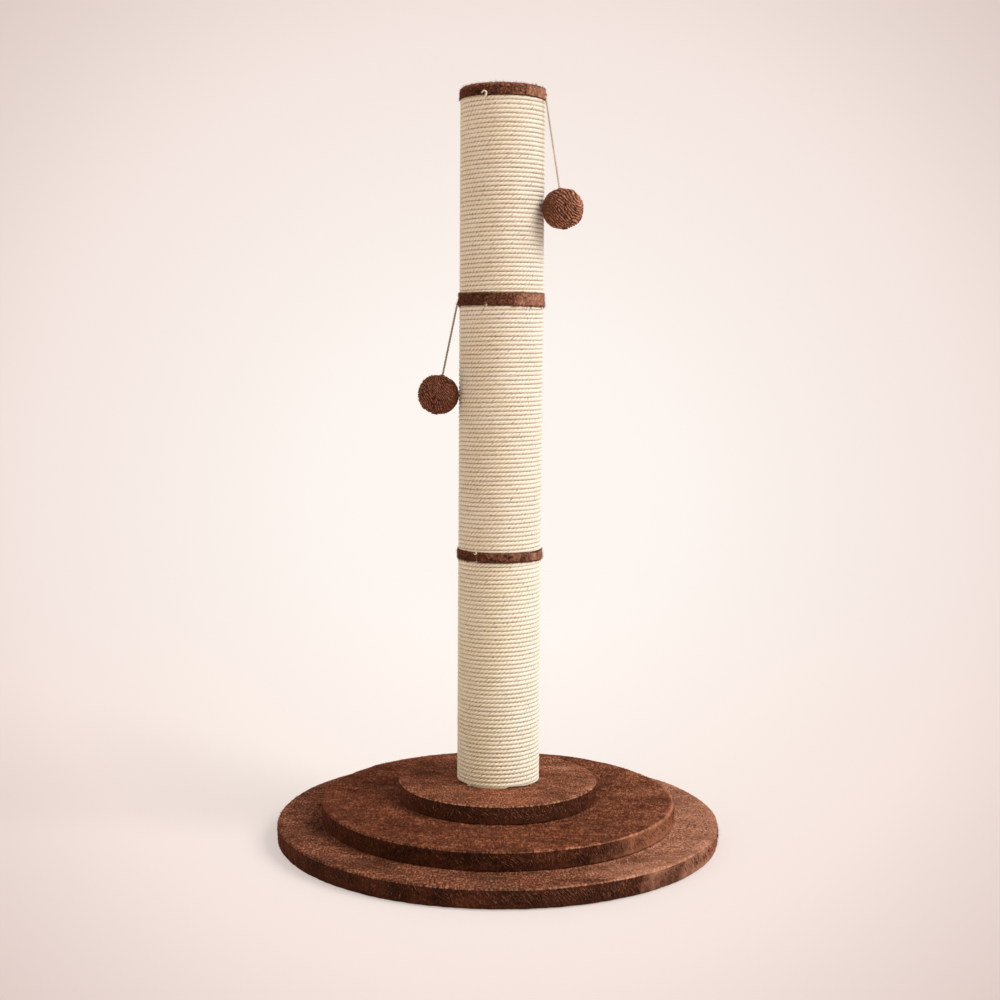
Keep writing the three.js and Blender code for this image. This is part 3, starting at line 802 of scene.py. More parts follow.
class Draft:
    """Points and faces gathered for one mesh."""

    def __init__(self) -> None:
        """Starts empty."""
        self.points: list[Array] = []
        self.runs: list[Array] = []
        self.heights: list[Array] = []
        self.patches: list[Patch] = []
        self.count = 0

    def _take(self, points: Array, runs: Array, heights: Array, patches: list[Patch]) -> None:
        """Keeps points and the faces between them, turned so that the faces look outward.

        Args:
            points: The points.
            runs: For each point, its place in its yarn.
            heights: For each point, from 0 in a hollow to 1 on a crest.
            patches: The faces, numbered from the first of these points.
        """
        volume = 0.0
        for patch in patches:
            first = points[patch.faces[:, 0]]
            for step in range(1, patch.faces.shape[1] - 1):
                second, third = points[patch.faces[:, step]], points[patch.faces[:, step + 1]]
                volume += float((first * np.cross(second, third)).sum())
        for patch in patches:
            if volume < 0:
                patch.faces, patch.unrolled = patch.faces[:, ::-1], patch.unrolled[:, ::-1]
            patch.faces = patch.faces + self.count
        self.points.append(points)
        self.runs.append(runs)
        self.heights.append(heights)
        self.patches += patches
        self.count += len(points)

    def shell(
        self, rings: Array, looped: bool, runs: Array | None = None, heights: Array | None = None
    ) -> None:
        """Adds one closed surface through rings of points.

        Args:
            rings: Points by ring and by place round the ring.
            looped: True if the last ring joins the first. Otherwise a fan closes each end.
            runs: For each point, its place in its yarn.
            heights: For each point, from 0 in a hollow to 1 on a crest.
        """
        count, sides = rings.shape[:2]
        places = np.arange(count * sides).reshape(count, sides)
        rows = np.concatenate([places, places[:1]]) if looped else places
        rows = np.concatenate([rows, rows[:, :1]], axis=1)
        quads = np.stack([rows[:-1, :-1], rows[:-1, 1:], rows[1:, 1:], rows[1:, :-1]], axis=-1)
        closed = np.concatenate([rings, rings[:1]]) if looped else rings
        steps = norm(np.diff(closed, axis=0), axis=-1).mean(axis=1)
        down = np.concatenate([[0.0], np.cumsum(steps)])
        round_again = rings[:, [*range(sides), 0]]
        girth = float(norm(np.diff(round_again, axis=1), axis=-1).sum(axis=1).mean())
        across = np.linspace(0, girth, sides + 1)
        down_at, across_at = np.meshgrid(down, across, indexing="ij")
        flat = np.stack([down_at, across_at] if down[-1] > girth else [across_at, down_at], axis=-1)
        unrolled = np.stack([flat[:-1, :-1], flat[:-1, 1:], flat[1:, 1:], flat[1:, :-1]], axis=-2)
        longest, shortest = max(down[-1], girth), min(down[-1], girth)
        patches = [Patch(quads.reshape(-1, 4), unrolled.reshape(-1, 4, 2), longest, shortest)]
        points = rings.reshape(-1, 3)
        runs = np.zeros_like(rings) if runs is None else runs
        heights = np.ones((count, sides)) if heights is None else heights
        runs, heights = runs.reshape(-1, 3), heights.reshape(-1)
        if not looped:
            centres = rings[[0, -1]].mean(axis=1)
            turned_round = np.roll(places, -1, axis=1)
            hubs = np.repeat([[count * sides], [count * sides + 1]], sides, axis=1)
            starts = np.stack([turned_round[0], places[0], hubs[0]], axis=-1)
            ends = np.stack([places[-1], turned_round[-1], hubs[1]], axis=-1)
            points = np.concatenate([points, centres])
            runs = np.concatenate([runs, runs[[0, -1]]])
            heights = np.concatenate([heights, heights[[0, -1]]])
            wide = float(norm(rings[[0, -1]] - centres[:, None], axis=-1).mean())
            patches.append(self._fans(np.concatenate([starts, ends]), wide))
        self._take(points, runs, heights, patches)

    @staticmethod
    def _fans(faces: Array, radius: float) -> Patch:
        """The two round ends of a surface, unrolled as wedges.

        Args:
            faces: The triangles of one end, and then those of the other.
            radius: The radius of an end.

        Returns:
            The faces with their unrolled places.
        """
        wedge = np.linspace(0, FULL_TURN, len(faces) // 2 + 1)
        rim = radius * (1 + np.stack([np.cos(wedge), np.sin(wedge)], axis=-1))
        hub = np.full((len(wedge) - 1, 2), radius)
        one = np.stack([rim[:-1], rim[1:], hub], axis=1)
        other = one + (2 * radius, 0)
        return Patch(faces, np.concatenate([one, other]), 4 * radius, 2 * radius)

    def strands(self, lines: Array, radii: Array, heights: Span = (1.0, 1.0)) -> None:
        """Adds many thin closed fibres of three sides.

        Args:
            lines: Points by fibre and by place along the fibre.
            radii: A radius for each of those points.
            heights: How pale the fibres are at their roots and at their tips, from 0 to 1.
        """
        number, steps = lines.shape[:2]
        along = unit(np.gradient(lines, axis=1))
        askew = (0.31, 0.17, 0.93)  # a way that fibres seldom run
        side = unit(np.cross(along, askew))
        other = np.cross(along, side)
        turn = np.arange(3) * FULL_TURN / 3
        round_it = np.cos(turn)[:, None] * side[:, :, None] + np.sin(turn)[:, None] * other[:, :, None]
        rings = lines[:, :, None] + radii[:, :, None, None] * round_it
        places = np.arange(number * steps * 3).reshape(number, steps, 3)
        beside = np.roll(places, -1, axis=2)
        quads = np.stack([places[:, :-1], beside[:, :-1], beside[:, 1:], places[:, 1:]], axis=-1)
        caps = np.concatenate([places[:, 0, ::-1], places[:, -1]])
        cell = 12 * MM  # what each fibre has of the map
        down = np.linspace(0, cell, steps)
        corner = np.array([(0, 0), (0, 1), (1, 1), (1, 0)])
        unrolled = np.empty((number, steps - 1, 3, 4, 2))
        for step, side_number, place in itertools.product(range(steps - 1), range(3), range(4)):
            row, column = corner[place]
            unrolled[:, step, side_number, place] = (down[step + row], (side_number + column) * cell / 3)
        cap_map = np.tile([(0.0, 0.0), (cell / 9, 0.0), (0.0, cell / 9)], (len(caps), 1, 1))
        runs = np.zeros((number, steps, 3, 3))
        runs[..., 0] = down[None, :, None] + np.arange(number)[:, None, None] * cell
        self._take(
            rings.reshape(-1, 3),
            runs.reshape(-1, 3),
            np.tile(np.repeat(np.linspace(*heights, steps), 3), number),
            [
                Patch(quads.reshape(-1, 4), unrolled.reshape(-1, 4, 2), cell, cell),
                Patch(caps, cap_map, cell, cell),
            ],
        )

    def _laid_out(self) -> Array:
        """Cuts each patch into rows of equal width and stacks them.

        Returns:
            The map's place for every corner of every face.
        """
        margin, end_margin, filled = 0.04, 0.005, 0.98  # shares of a row
        total = sum(patch.length * patch.width for patch in self.patches)
        laid, low = [], 0.0
        for patch in self.patches:
            tall = patch.length * patch.width / total
            rows = max(1, round(patch.length / math.sqrt(total)))
            along = patch.unrolled[..., 0] / patch.length * rows
            row = np.clip(np.floor(along.min(axis=1, keepdims=True) + 1e-6), 0, rows - 1)
            across = margin + (1 - 2 * margin) * patch.unrolled[..., 1] / patch.width
            level = end_margin + filled * (along - row)
            upright = low + tall * (row + across) / rows
            laid.append(np.stack([level, upright], axis=-1).reshape(-1, 2))
            low += tall
        return np.concatenate(laid)

    def build(self, name: str, finish: Finish) -> Piece:
        """Makes the mesh and its object.

        Args:
            name: The piece's name.
            finish: What it is made of.

        Returns:
            The object, in place.
        """
        mesh = bpy.data.meshes.new(name)
        points = np.concatenate(self.points)
        mesh.vertices.add(len(points))
        mesh.vertices.foreach_set("co", points.astype(np.float32).ravel())
        corners = np.concatenate([patch.faces.ravel() for patch in self.patches])
        sizes = np.concatenate([np.full(len(p.faces), p.faces.shape[1]) for p in self.patches])
        mesh.loops.add(len(corners))
        mesh.loops.foreach_set("vertex_index", corners.astype(np.int32))
        mesh.polygons.add(len(sizes))
        mesh.polygons.foreach_set("loop_start", (np.cumsum(sizes) - sizes).astype(np.int32))
        mesh.polygons.foreach_set("use_smooth", np.ones(len(sizes), bool))
        mesh.update(calc_edges=True)
        layer = mesh.uv_layers.new(name=MAP)
        layer.uv.foreach_set("vector", self._laid_out().astype(np.float32).ravel())
        run = mesh.attributes.new(RUN, "FLOAT_VECTOR", "POINT")
        run.data.foreach_set("vector", np.concatenate(self.runs).astype(np.float32).ravel())
        height = mesh.attributes.new(HEIGHT, "FLOAT", "POINT")
        height.data.foreach_set("value", np.concatenate(self.heights).astype(np.float32))
        mesh.materials.append(finish.material())
        piece = bpy.data.objects.new(name, mesh)
        bpy.context.scene.collection.objects.link(piece)
        return piece


class Outline:
    """The section of a turned piece, drawn anticlockwise from point to point."""

    def __init__(self, radius: float, height: float) -> None:
        """Starts at one point of the section."""
        self.points = [(radius, height)]
        self.soft = [0.0]

    def line(self, radius: float, height: float, step: float, soft: float = 0.0) -> "Outline":
        """Goes straight to a point.

        Args:
            radius: The point's distance from the axis.
            height: Its height.
            step: The most between two points on the way.
            soft: How much of the pile's relief this stretch has, from 0 to 1.

        Returns:
            The outline itself.
        """
        first_radius, first_height = self.points[-1]
        count = max(1, math.ceil(math.dist(self.points[-1], (radius, height)) / step))
        for share in np.linspace(0, 1, count + 1)[1:]:
            at_radius = first_radius + share * (radius - first_radius)
            at_height = first_height + share * (height - first_height)
            self.points.append((at_radius, at_height))
            self.soft.append(soft)
        return self

    def arc(
        self, centre: Span, radius: float, turn: Span, step: float, soft: float = 0.0
    ) -> "Outline":
        """Goes round part of a circle.

        Args:
            centre: The circle's centre, as a radius and a height.
            radius: The circle's radius.
            turn: Its first and last angle, in degrees from outward.
            step: The most between two points on the way.
            soft: How much of the pile's relief this stretch has, from 0 to 1.

        Returns:
            The outline itself.
        """
        first, last = (math.radians(angle) for angle in turn)
        count = max(1, math.ceil(abs(last - first) * radius / step))
        for angle in np.linspace(first, last, count + 1):
            at_radius = centre[0] + radius * math.cos(angle)
            at_height = centre[1] + radius * math.sin(angle)
            self.points.append((at_radius, at_height))
            self.soft.append(soft)
        return self

    def turned(self, columns: int, looped: bool) -> "Turned":
        """Turns the section about the Z axis.

        Args:
            columns: How many points lie round the axis.
            looped: True if the section closes on itself.

        Returns:
            The surface.
        """
        points, soft = np.array(self.points), np.array(self.soft)
        apart = norm(np.diff(points, axis=0, append=points[:1]), axis=1) > 1e-7
        points, soft = points[apart], soft[apart]
        tangent = np.roll(points, -1, axis=0) - np.roll(points, 1, axis=0)
        if not looped:
            tangent[[0, -1]] = points[[1, -1]] - points[[0, -2]]
        normal = unit(np.stack([tangent[:, 1], -tangent[:, 0]], axis=1))
        angle = np.linspace(0, FULL_TURN, columns, endpoint=False)
        ring = np.stack([np.cos(angle), np.sin(angle), np.ones(columns)], axis=1)
        return Turned(
            points[:, None, [0, 0, 1]] * ring,
            normal[:, None, [0, 0, 1]] * ring,
            np.repeat(soft[:, None], columns, axis=1),
        )


@dataclass
class Turned:
    """A turned surface, before it joins a draft."""

    rings: Array
    normals: Array
    soft: Array

    def raise_by(self, relief: Array) -> None:
        """Moves the soft places out along their normals."""
        self.rings = self.rings + self.normals * (relief * self.soft)[..., None]

    def roots(self, count: int, random: Random, where: Array | None = None) -> tuple[Array, Array]:
        """Random places on the soft surface.

        Args:
            count: How many places.
            random: Where the random numbers come from.
            where: A weight for each point, or the softness.

        Returns:
            The places and their normals.
        """
        weight = (self.soft if where is None else where) * norm(self.rings[..., :2], axis=-1)
        gap = norm(np.gradient(self.rings, axis=0), axis=-1)
        weight = (weight * gap).ravel()
        chosen = random.choice(len(weight), count, p=weight / weight.sum())
        row, column = np.divmod(chosen, self.rings.shape[1])
        beside = (column + 1) % self.rings.shape[1]
        below = np.minimum(row + 1, len(self.rings) - 1)
        across, down = random.random((2, count, 1))
        corner = self.rings[row, column]
        to_side, to_below = self.rings[row, beside] - corner, self.rings[below, column] - corner
        return corner + across * to_side + down * to_below, self.normals[row, column]


@dataclass(frozen=True)
class Extent:
    """Where a round solid of the frame lies about the post's axis."""

    radius: float
    low: float
    high: float

    @classmethod
    def of(cls, node: str) -> "Extent":
        """Reads a solid's box."""
        low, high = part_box(node)
        return cls(high.x, low.z, high.z)


@dataclass(frozen=True)
class Hair:
    """A kind of short tapered fibre that leans over as it rises."""

    length: float
    radius: float  # at its root
    untidy: float = 1.0  # how far it strays from where it is aimed
    lengths: Span = (0.55, 1.25)  # the least and the most, as factors
    taper: Triple = (1.0, 0.8, 0.25)
    tones: Span = (0.2, 1.0)  # how pale it is at its root and at its tip

    def grow(self, draft: Draft, roots: Array, aims: Array, random: Random) -> None:
        """Adds one such fibre at each place.

        Args:
            draft: The mesh that takes them.
            roots: Where they stand.
            aims: Which way they point.
            random: Where the random numbers come from.
        """
        reach = self.length * random.uniform(*self.lengths, (len(roots), 1))
        aims = unit(aims + 0.3 * self.untidy * random.normal(size=(len(roots), 3)))
        bend = unit(aims + 0.5 * self.untidy * random.normal(size=(len(roots), 3)))
        foot, waist = roots - 0.3 * reach * aims, roots + 0.5 * reach * aims
        tip = roots + reach * unit(aims + bend)
        radii = self.radius * np.tile(self.taper, (len(roots), 1))
        draft.strands(np.stack([foot, waist, tip], axis=1), radii, self.tones)


def carried_sides(path: Array) -> tuple[Array, Array]:
    """Two directions square to a path that turn with it as little as they can.

    Args:
        path: Points along the path.

    Returns:
        The two directions at each point.
    """
    along = unit(np.gradient(path, axis=0))
    askew = (0.3, 0.9, 0.2)  # a way that no path starts in
    side = unit(np.cross(along[0], askew))
    sides = []
    for tangent in along:
        side = unit(side - tangent * side.dot(tangent))
        sides.append(side)
    sides = np.array(sides)
    return sides, np.cross(along, sides)


@dataclass(frozen=True)
class Twist:
    """Strands laid round each other into a cord or rope."""

    strands: int
    radius: float
    lay: float  # length of one full turn of a strand
    points: tuple[Span, ...]  # in one strand: share of its angle, share of the radius
    squareness: float = 2.0  # 2 is round, and more is pressed flat against its neighbours
    painted_groove_shade: float = 0.0  # painted shade: how dark it gets towards its neighbours
    lay_tone: float = 1.0  # how dark it gets between its strands: grime and painted shade
    groove_breaks: float = 0.0  # how unevenly dark that painted shade is along the cord
    break_size: float = 5 * MM  # how long its dark and pale stretches are
    groove_narrowness: int = 8

    def section(self) -> tuple[Array, Array, Array]:
        """Works out one section.

        Returns:
            The angles, radii and heights of its points.
        """
        shares = np.array([share for share, _ in self.points])
        reach = np.array([reach for _, reach in self.points])
        angles = (np.arange(self.strands)[:, None] + shares) * FULL_TURN / self.strands
        heights = (reach - reach.min()) / (reach.max() - reach.min())
        return angles.ravel(), np.tile(reach, self.strands) * self.radius, np.tile(heights, self.strands)

    def wind(
        self,
        draft: Draft,
        path: Array,
        sides: tuple[Array, Array] | None = None,
        swell: Array | float = 1.0,
        turn: Array | float = 0.0,
    ) -> None:
        """Adds the cord along a path.

        Args:
            draft: The mesh that takes it.
            path: Points along its centre.
            sides: Two directions square to the path, at each point, or those that turn least.
                Their length scales the section.
            swell: How much thicker it is at each point, as a factor.
            turn: How far its lay is ahead at each point, in radians.
        """
        side, other = sides or carried_sides(path)
        steps = norm(np.diff(path, axis=0), axis=1)
        travelled = np.concatenate([[0.0], np.cumsum(steps)])
        angles, radii, heights = self.section()
        at = angles + (travelled / self.lay * FULL_TURN + turn)[:, None]
        power = self.squareness
        pressed = (np.abs(np.cos(at)) ** power + np.abs(np.sin(at)) ** power) ** (-1 / power)
        reach = radii * np.broadcast_to(swell, len(path))[:, None] * pressed
        rings = path[:, None] + reach[..., None] * (
            np.cos(at)[..., None] * side[:, None] + np.sin(at)[..., None] * other[:, None]
        )
        runs = np.empty_like(rings)
        runs[..., 0] = travelled[:, None]
        runs[..., 1] = reach * np.cos(angles)
        runs[..., 2] = reach * np.sin(angles)
        uneven = swells(on_a_line(travelled), self.break_size, self.strands)
        broken = np.clip(1 + self.groove_breaks * uneven, 0, 2)[:, None]
        # painted shade in the gap between neighbouring turns
        beside = np.abs(np.sin(at)) ** self.groove_narrowness
        painted_shade_between_turns = self.painted_groove_shade * broken * (1.2 - heights) * beside
        tones = np.clip(1 - self.lay_tone * (1 - heights) - painted_shade_between_turns, 0, 1)
        draft.shell(rings, False, runs, tones)


# ---- Putting pieces in place ----


def settle(piece: Piece, body: str, slot: Slot, *nodes: str) -> Piece:
    """Makes a piece ride on a body and stand for solids of the frame.

    Args:
        piece: The piece, in place.
        body: The body that carries it.
        slot: Not used.
        nodes: The solids that it stands for.

    Returns:
        The piece.
    """
    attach(piece, body)
    if nodes:
        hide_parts(*nodes)
    stands_for = ", ".join(nodes) or "no solid"
    LOG.info("%s: %d faces, on %s, for %s", piece.name, len(piece.data.polygons), body, stands_for)
    return piece


def dress(finish: Finish, *nodes: str) -> None:
    """Gives solids of the frame a finish.

    Args:
        finish: The finish.
        nodes: The solids.
    """
    for node in nodes:
        for place in frame["nodes"][node].material_slots:
            place.material = finish.material()
        LOG.info("%s: dressed in %s", node, finish.name)


# ---- Base ----


@dataclass
class Tier:
    """The plush wrap of one board of the base."""

    name: str
    covered_radius: float  # what stands on it hides it inside this radius
    seed: int
    edge_rounding: float = 2.6 * MM
    hem_rounding: float = 2 * MM
    hem_width: float = 25 * MM
    bolt_hole_radius: float = 4.3 * MM
    column_width: float = 2.3 * MM
    row_height: float = 2.2 * MM
    edge_width: float = 9 * MM  # how far in from the rim the top counts as its edge
    hairs_at_edge: float = 0.06 / MM**2
    strokes_on_side: float = 0.03 / MM**2
    locks_on_top: float = 0.11 / MM**2
    edge_hair: Hair = Hair(2.0 * MM, 0.14 * MM)
    side_stroke: Hair = Hair(5.5 * MM, 0.24 * MM, 0.35)
    top_lock: Hair = Hair(2.8 * MM, 0.26 * MM)
    bunched_at: float = 7.5 * MM  # how far outside the covered surface the pile is pushed up
    bunched_width: float = 1.4 * MM
    broad_size: float = 34 * MM  # the width of its swells
    tuft_size: float = 9 * MM
    fine_size: float = 4.5 * MM
    fold_size: float = 15 * MM  # the width of the folds over the hem
    fold_reach: float = 12 * MM  # how far up the side they rise
    plush: Plush = LOWER_PLUSH

    def build(self) -> None:
        """Models the wrap and the hairs that stand from it."""
        cover, board = Extent.of(f"{self.name}_cover"), Extent.of(f"{self.name}_board")
        inner_radius = board.radius + FIT_GAP
        hem_inner = board.radius - self.hem_width
        hem_top, inner_top = board.low - FIT_GAP, board.high + FIT_GAP
        edge, hem, row = self.edge_rounding, self.hem_rounding, self.row_height
        outline = Outline(hem_inner, cover.low)
        outline.line(cover.radius - hem, cover.low, 8 * MM)
        outline.arc((cover.radius - hem, cover.low + hem), hem, (-90, 0), 0.8 * MM, 0.6)
        outline.line(cover.radius, cover.high - edge, 1.3 * MM, 1.0)
        outline.arc((cover.radius - edge, cover.high - edge), edge, (0, 90), 0.9 * MM, 1.0)
        outline.line(self.covered_radius + 2 * self.bunched_at, cover.high, row, 1.0)
        outline.line(self.covered_radius, cover.high, 1.2 * MM, 1.0)
        outline.line(self.bolt_hole_radius, cover.high, 40 * MM)
        outline.line(self.bolt_hole_radius, inner_top, 5 * MM)
        outline.line(inner_radius, inner_top, 60 * MM)
        outline.line(inner_radius, hem_top, 20 * MM)
        outline.line(hem_inner, hem_top, 20 * MM)
        wrap = outline.turned(round(FULL_TURN * cover.radius / self.column_width), True)
        heights = self._brush(wrap, cover)
        draft = Draft()
        draft.shell(wrap.rings, True, heights=heights)
        piece = draft.build(f"{self.name}_plush", self.plush)
        settle(piece, "root", Slot.PLUSH, f"{self.name}_cover")
        hairs = self._hairs(wrap, cover)
        cut = cover.radius + (cover.high - cover.low) + self.hem_width
        2 * cut
        2 * cut
        math.pi * cut**2

    def _brush(self, wrap: Turned, cover: Extent) -> Array:
        """Gives the pile its swells and the folds over the hem.

        Args:
            wrap: The surface.
            cover: Where the solid lies.

        Returns:
            The pile's height at each point, from 0 to 1.
        """
        broad = swells(wrap.rings, self.broad_size, self.seed)
        tufts = swells(wrap.rings, self.tuft_size, self.seed + 1)
        fine = swells(wrap.rings, self.fine_size, self.seed + 2)
        upright = wrap.rings * (1, 1, 0.12)
        folds = np.abs(swells(upright, self.fold_size, self.seed + 3))
        from_edge = cover.high - self.edge_rounding - wrap.rings[..., 2]
        low_down = np.clip(from_edge / self.fold_reach, 0, 1)
        relief = 0.45 * broad + 0.28 * tufts + 0.2 * fine - 1.2 * (0.35 - folds).clip(0) * low_down
        outside = norm(wrap.rings[..., :2], axis=-1) - self.covered_radius
        from_bunch = (outside - self.bunched_at) / self.bunched_width
        bunched = np.exp(-(from_bunch**2)) * np.clip(0.7 + 0.6 * broad, 0, 1)
        wrap.raise_by((relief + 0.8 * bunched) * MM)
        wrap.rings[..., 2] = np.maximum(wrap.rings[..., 2], cover.low)
        return np.clip(0.5 + 0.5 * tufts + bunched, 0, 1)

    def _hairs(self, wrap: Turned, cover: Extent) -> Piece:
        """Stands loose hairs along the edge, strokes down the side and small locks over the top.

        Args:
            wrap: The surface that they stand on.
            cover: Where the solid lies.

        Returns:
            The hairs, as one piece.
        """
        random = np.random.default_rng(self.seed)
        draft = Draft()
        height = wrap.rings[..., 2]
        near_edge = norm(wrap.rings[..., :2], axis=-1) > cover.radius - self.edge_width
        above_floor = height > cover.low + 4 * MM
        side = FULL_TURN * cover.radius * (cover.high - cover.low + self.edge_width)
        at_edge = wrap.soft * near_edge * above_floor
        roots, normals = wrap.roots(round(side * self.hairs_at_edge), random, at_edge)
        aims = 0.4 * normals + 0.9 * self._nap(roots) + (0, 0, -0.2)
        self.edge_hair.grow(draft, roots, aims, random)
        to_the_right = np.clip(0.45 + wrap.rings[..., 0] / (120 * MM), 0.15, 1)
        on_side = (height < cover.high - 3 * MM) * (height > cover.low + 7 * MM)
        strokes = round(side * self.strokes_on_side)
        roots, normals = wrap.roots(strokes, random, wrap.soft * to_the_right * on_side)
        around = np.cross((0, 0, 1), normals)
        slant = swells(roots, 60 * MM, self.seed + 9)[:, None]
        aims = 0.1 * normals + (0.5 + slant) * around + (0, 0, -0.55)
        self.side_stroke.grow(draft, roots, aims, random)
        top = math.pi * (cover.radius**2 - self.covered_radius**2)
        roots, normals = wrap.roots(round(top * self.locks_on_top), random, wrap.soft * ~near_edge)
        self.top_lock.grow(draft, roots, 0.35 * normals + self._nap(roots), random)
        finish = replace(self.plush, name=f"{self.name}_loose_hairs", relief_tone=0.75, side_share=0.65)
        return settle(draft.build(f"{self.name}_pile_hairs", finish), "root", Slot.PLUSH)

    def _nap(self, roots: Array) -> Array:
        """Which way the pile is brushed at each place: to the front and the right, in swirls."""
        swirls = np.stack([swells(roots, 40 * MM, self.seed + place) for place in (5, 6, 7)], axis=1)
        return unit(swirls * (1.0, 1.0, 0.4) + (0.2, -0.3, 0.0))


@dataclass
class Underside:
    """The backing sheet under the base and the staples that hold it."""

    pocket_radius: float = 14 * MM
    staple_count: int = 26
    staple_inset: float = 7 * MM
    staple_crown: float = 10 * MM
    staple_leg: float = 0.6 * MM  # what is modelled of it
    staple_wire: float = 0.3 * MM

    def build(self) -> None:
        """Models the sheet and its staples."""
        sheet = Extent.of("base_backing")
        lift = self.staple_wire
        outline = Outline(self.pocket_radius, sheet.low + lift)
        outline.line(sheet.radius, sheet.low + lift, 9 * MM, 1.0)
        outline.line(sheet.radius, sheet.high, 1 * MM)
        outline.line(self.pocket_radius, sheet.high, 60 * MM)
        cloth = outline.turned(96, True)
        cloth.raise_by(0.12 * MM * (1 + swells(cloth.rings, 30 * MM, 71)))
        draft = Draft()
        draft.shell(cloth.rings, True)
        backing = settle(draft.build("backing_sheet", BACKING), "root", Slot.BACKING, "base_backing")
        staples = settle(self._staples(sheet), "root", Slot.STEEL)
        area = math.pi * (sheet.radius**2 - self.pocket_radius**2)
        width = 2 * sheet.radius

    def _staples(self, sheet: Extent) -> Piece:
        """Wire staples in a circle near the sheet's edge.

        Args:
            sheet: Where the sheet lies.

        Returns:
            The staples, as one piece.
        """
        radius, high = sheet.radius - self.staple_inset, sheet.low + self.staple_wire
        lines = []
        for angle in np.arange(self.staple_count) * FULL_TURN / self.staple_count:
            middle = outward(angle) * radius + (0, 0, high)
            half = sideways(angle) * self.staple_crown / 2
            leg = np.array([0, 0, self.staple_leg])
            left, right = middle - half, middle + half
            lines.append([left + leg, left, middle, right, right + leg])
        draft = Draft()
        draft.strands(np.array(lines), np.full((self.staple_count, 5), self.staple_wire))
        return draft.build("backing_staples", SMOOTH_ZINC)


@dataclass
class Base:
    """Three plush tiers on a backing sheet, with what holds them together."""

    tuck: float = 6 * MM  # how far the fine surface goes in under what stands on it

    def build(self) -> None:
        """Models the soft pieces and dresses the solid ones."""
        middle, upper = Extent.of("middle_cover"), Extent.of("upper_cover")
        post = Extent.of("lower_tube")
        Tier("lower", middle.radius - self.tuck, 11).build()
        Tier("middle", upper.radius - self.tuck, 21, plush=MIDDLE_PLUSH).build()
        Tier("upper", post.radius - self.tuck, 31, plush=UPPER_PLUSH).build()
        Underside().build()
        dress(CHIPBOARD, "lower_board", "middle_board", "upper_board")
        dress(ZINC, "base_bolt", *(f"lower_screw_{place}" for place in range(1, 5)))
        dress(ZINC, *(f"upper_screw_{place}" for place in range(1, 4)))
        dress(SMOOTH_ZINC, "base_washer")


# ---- Post ----


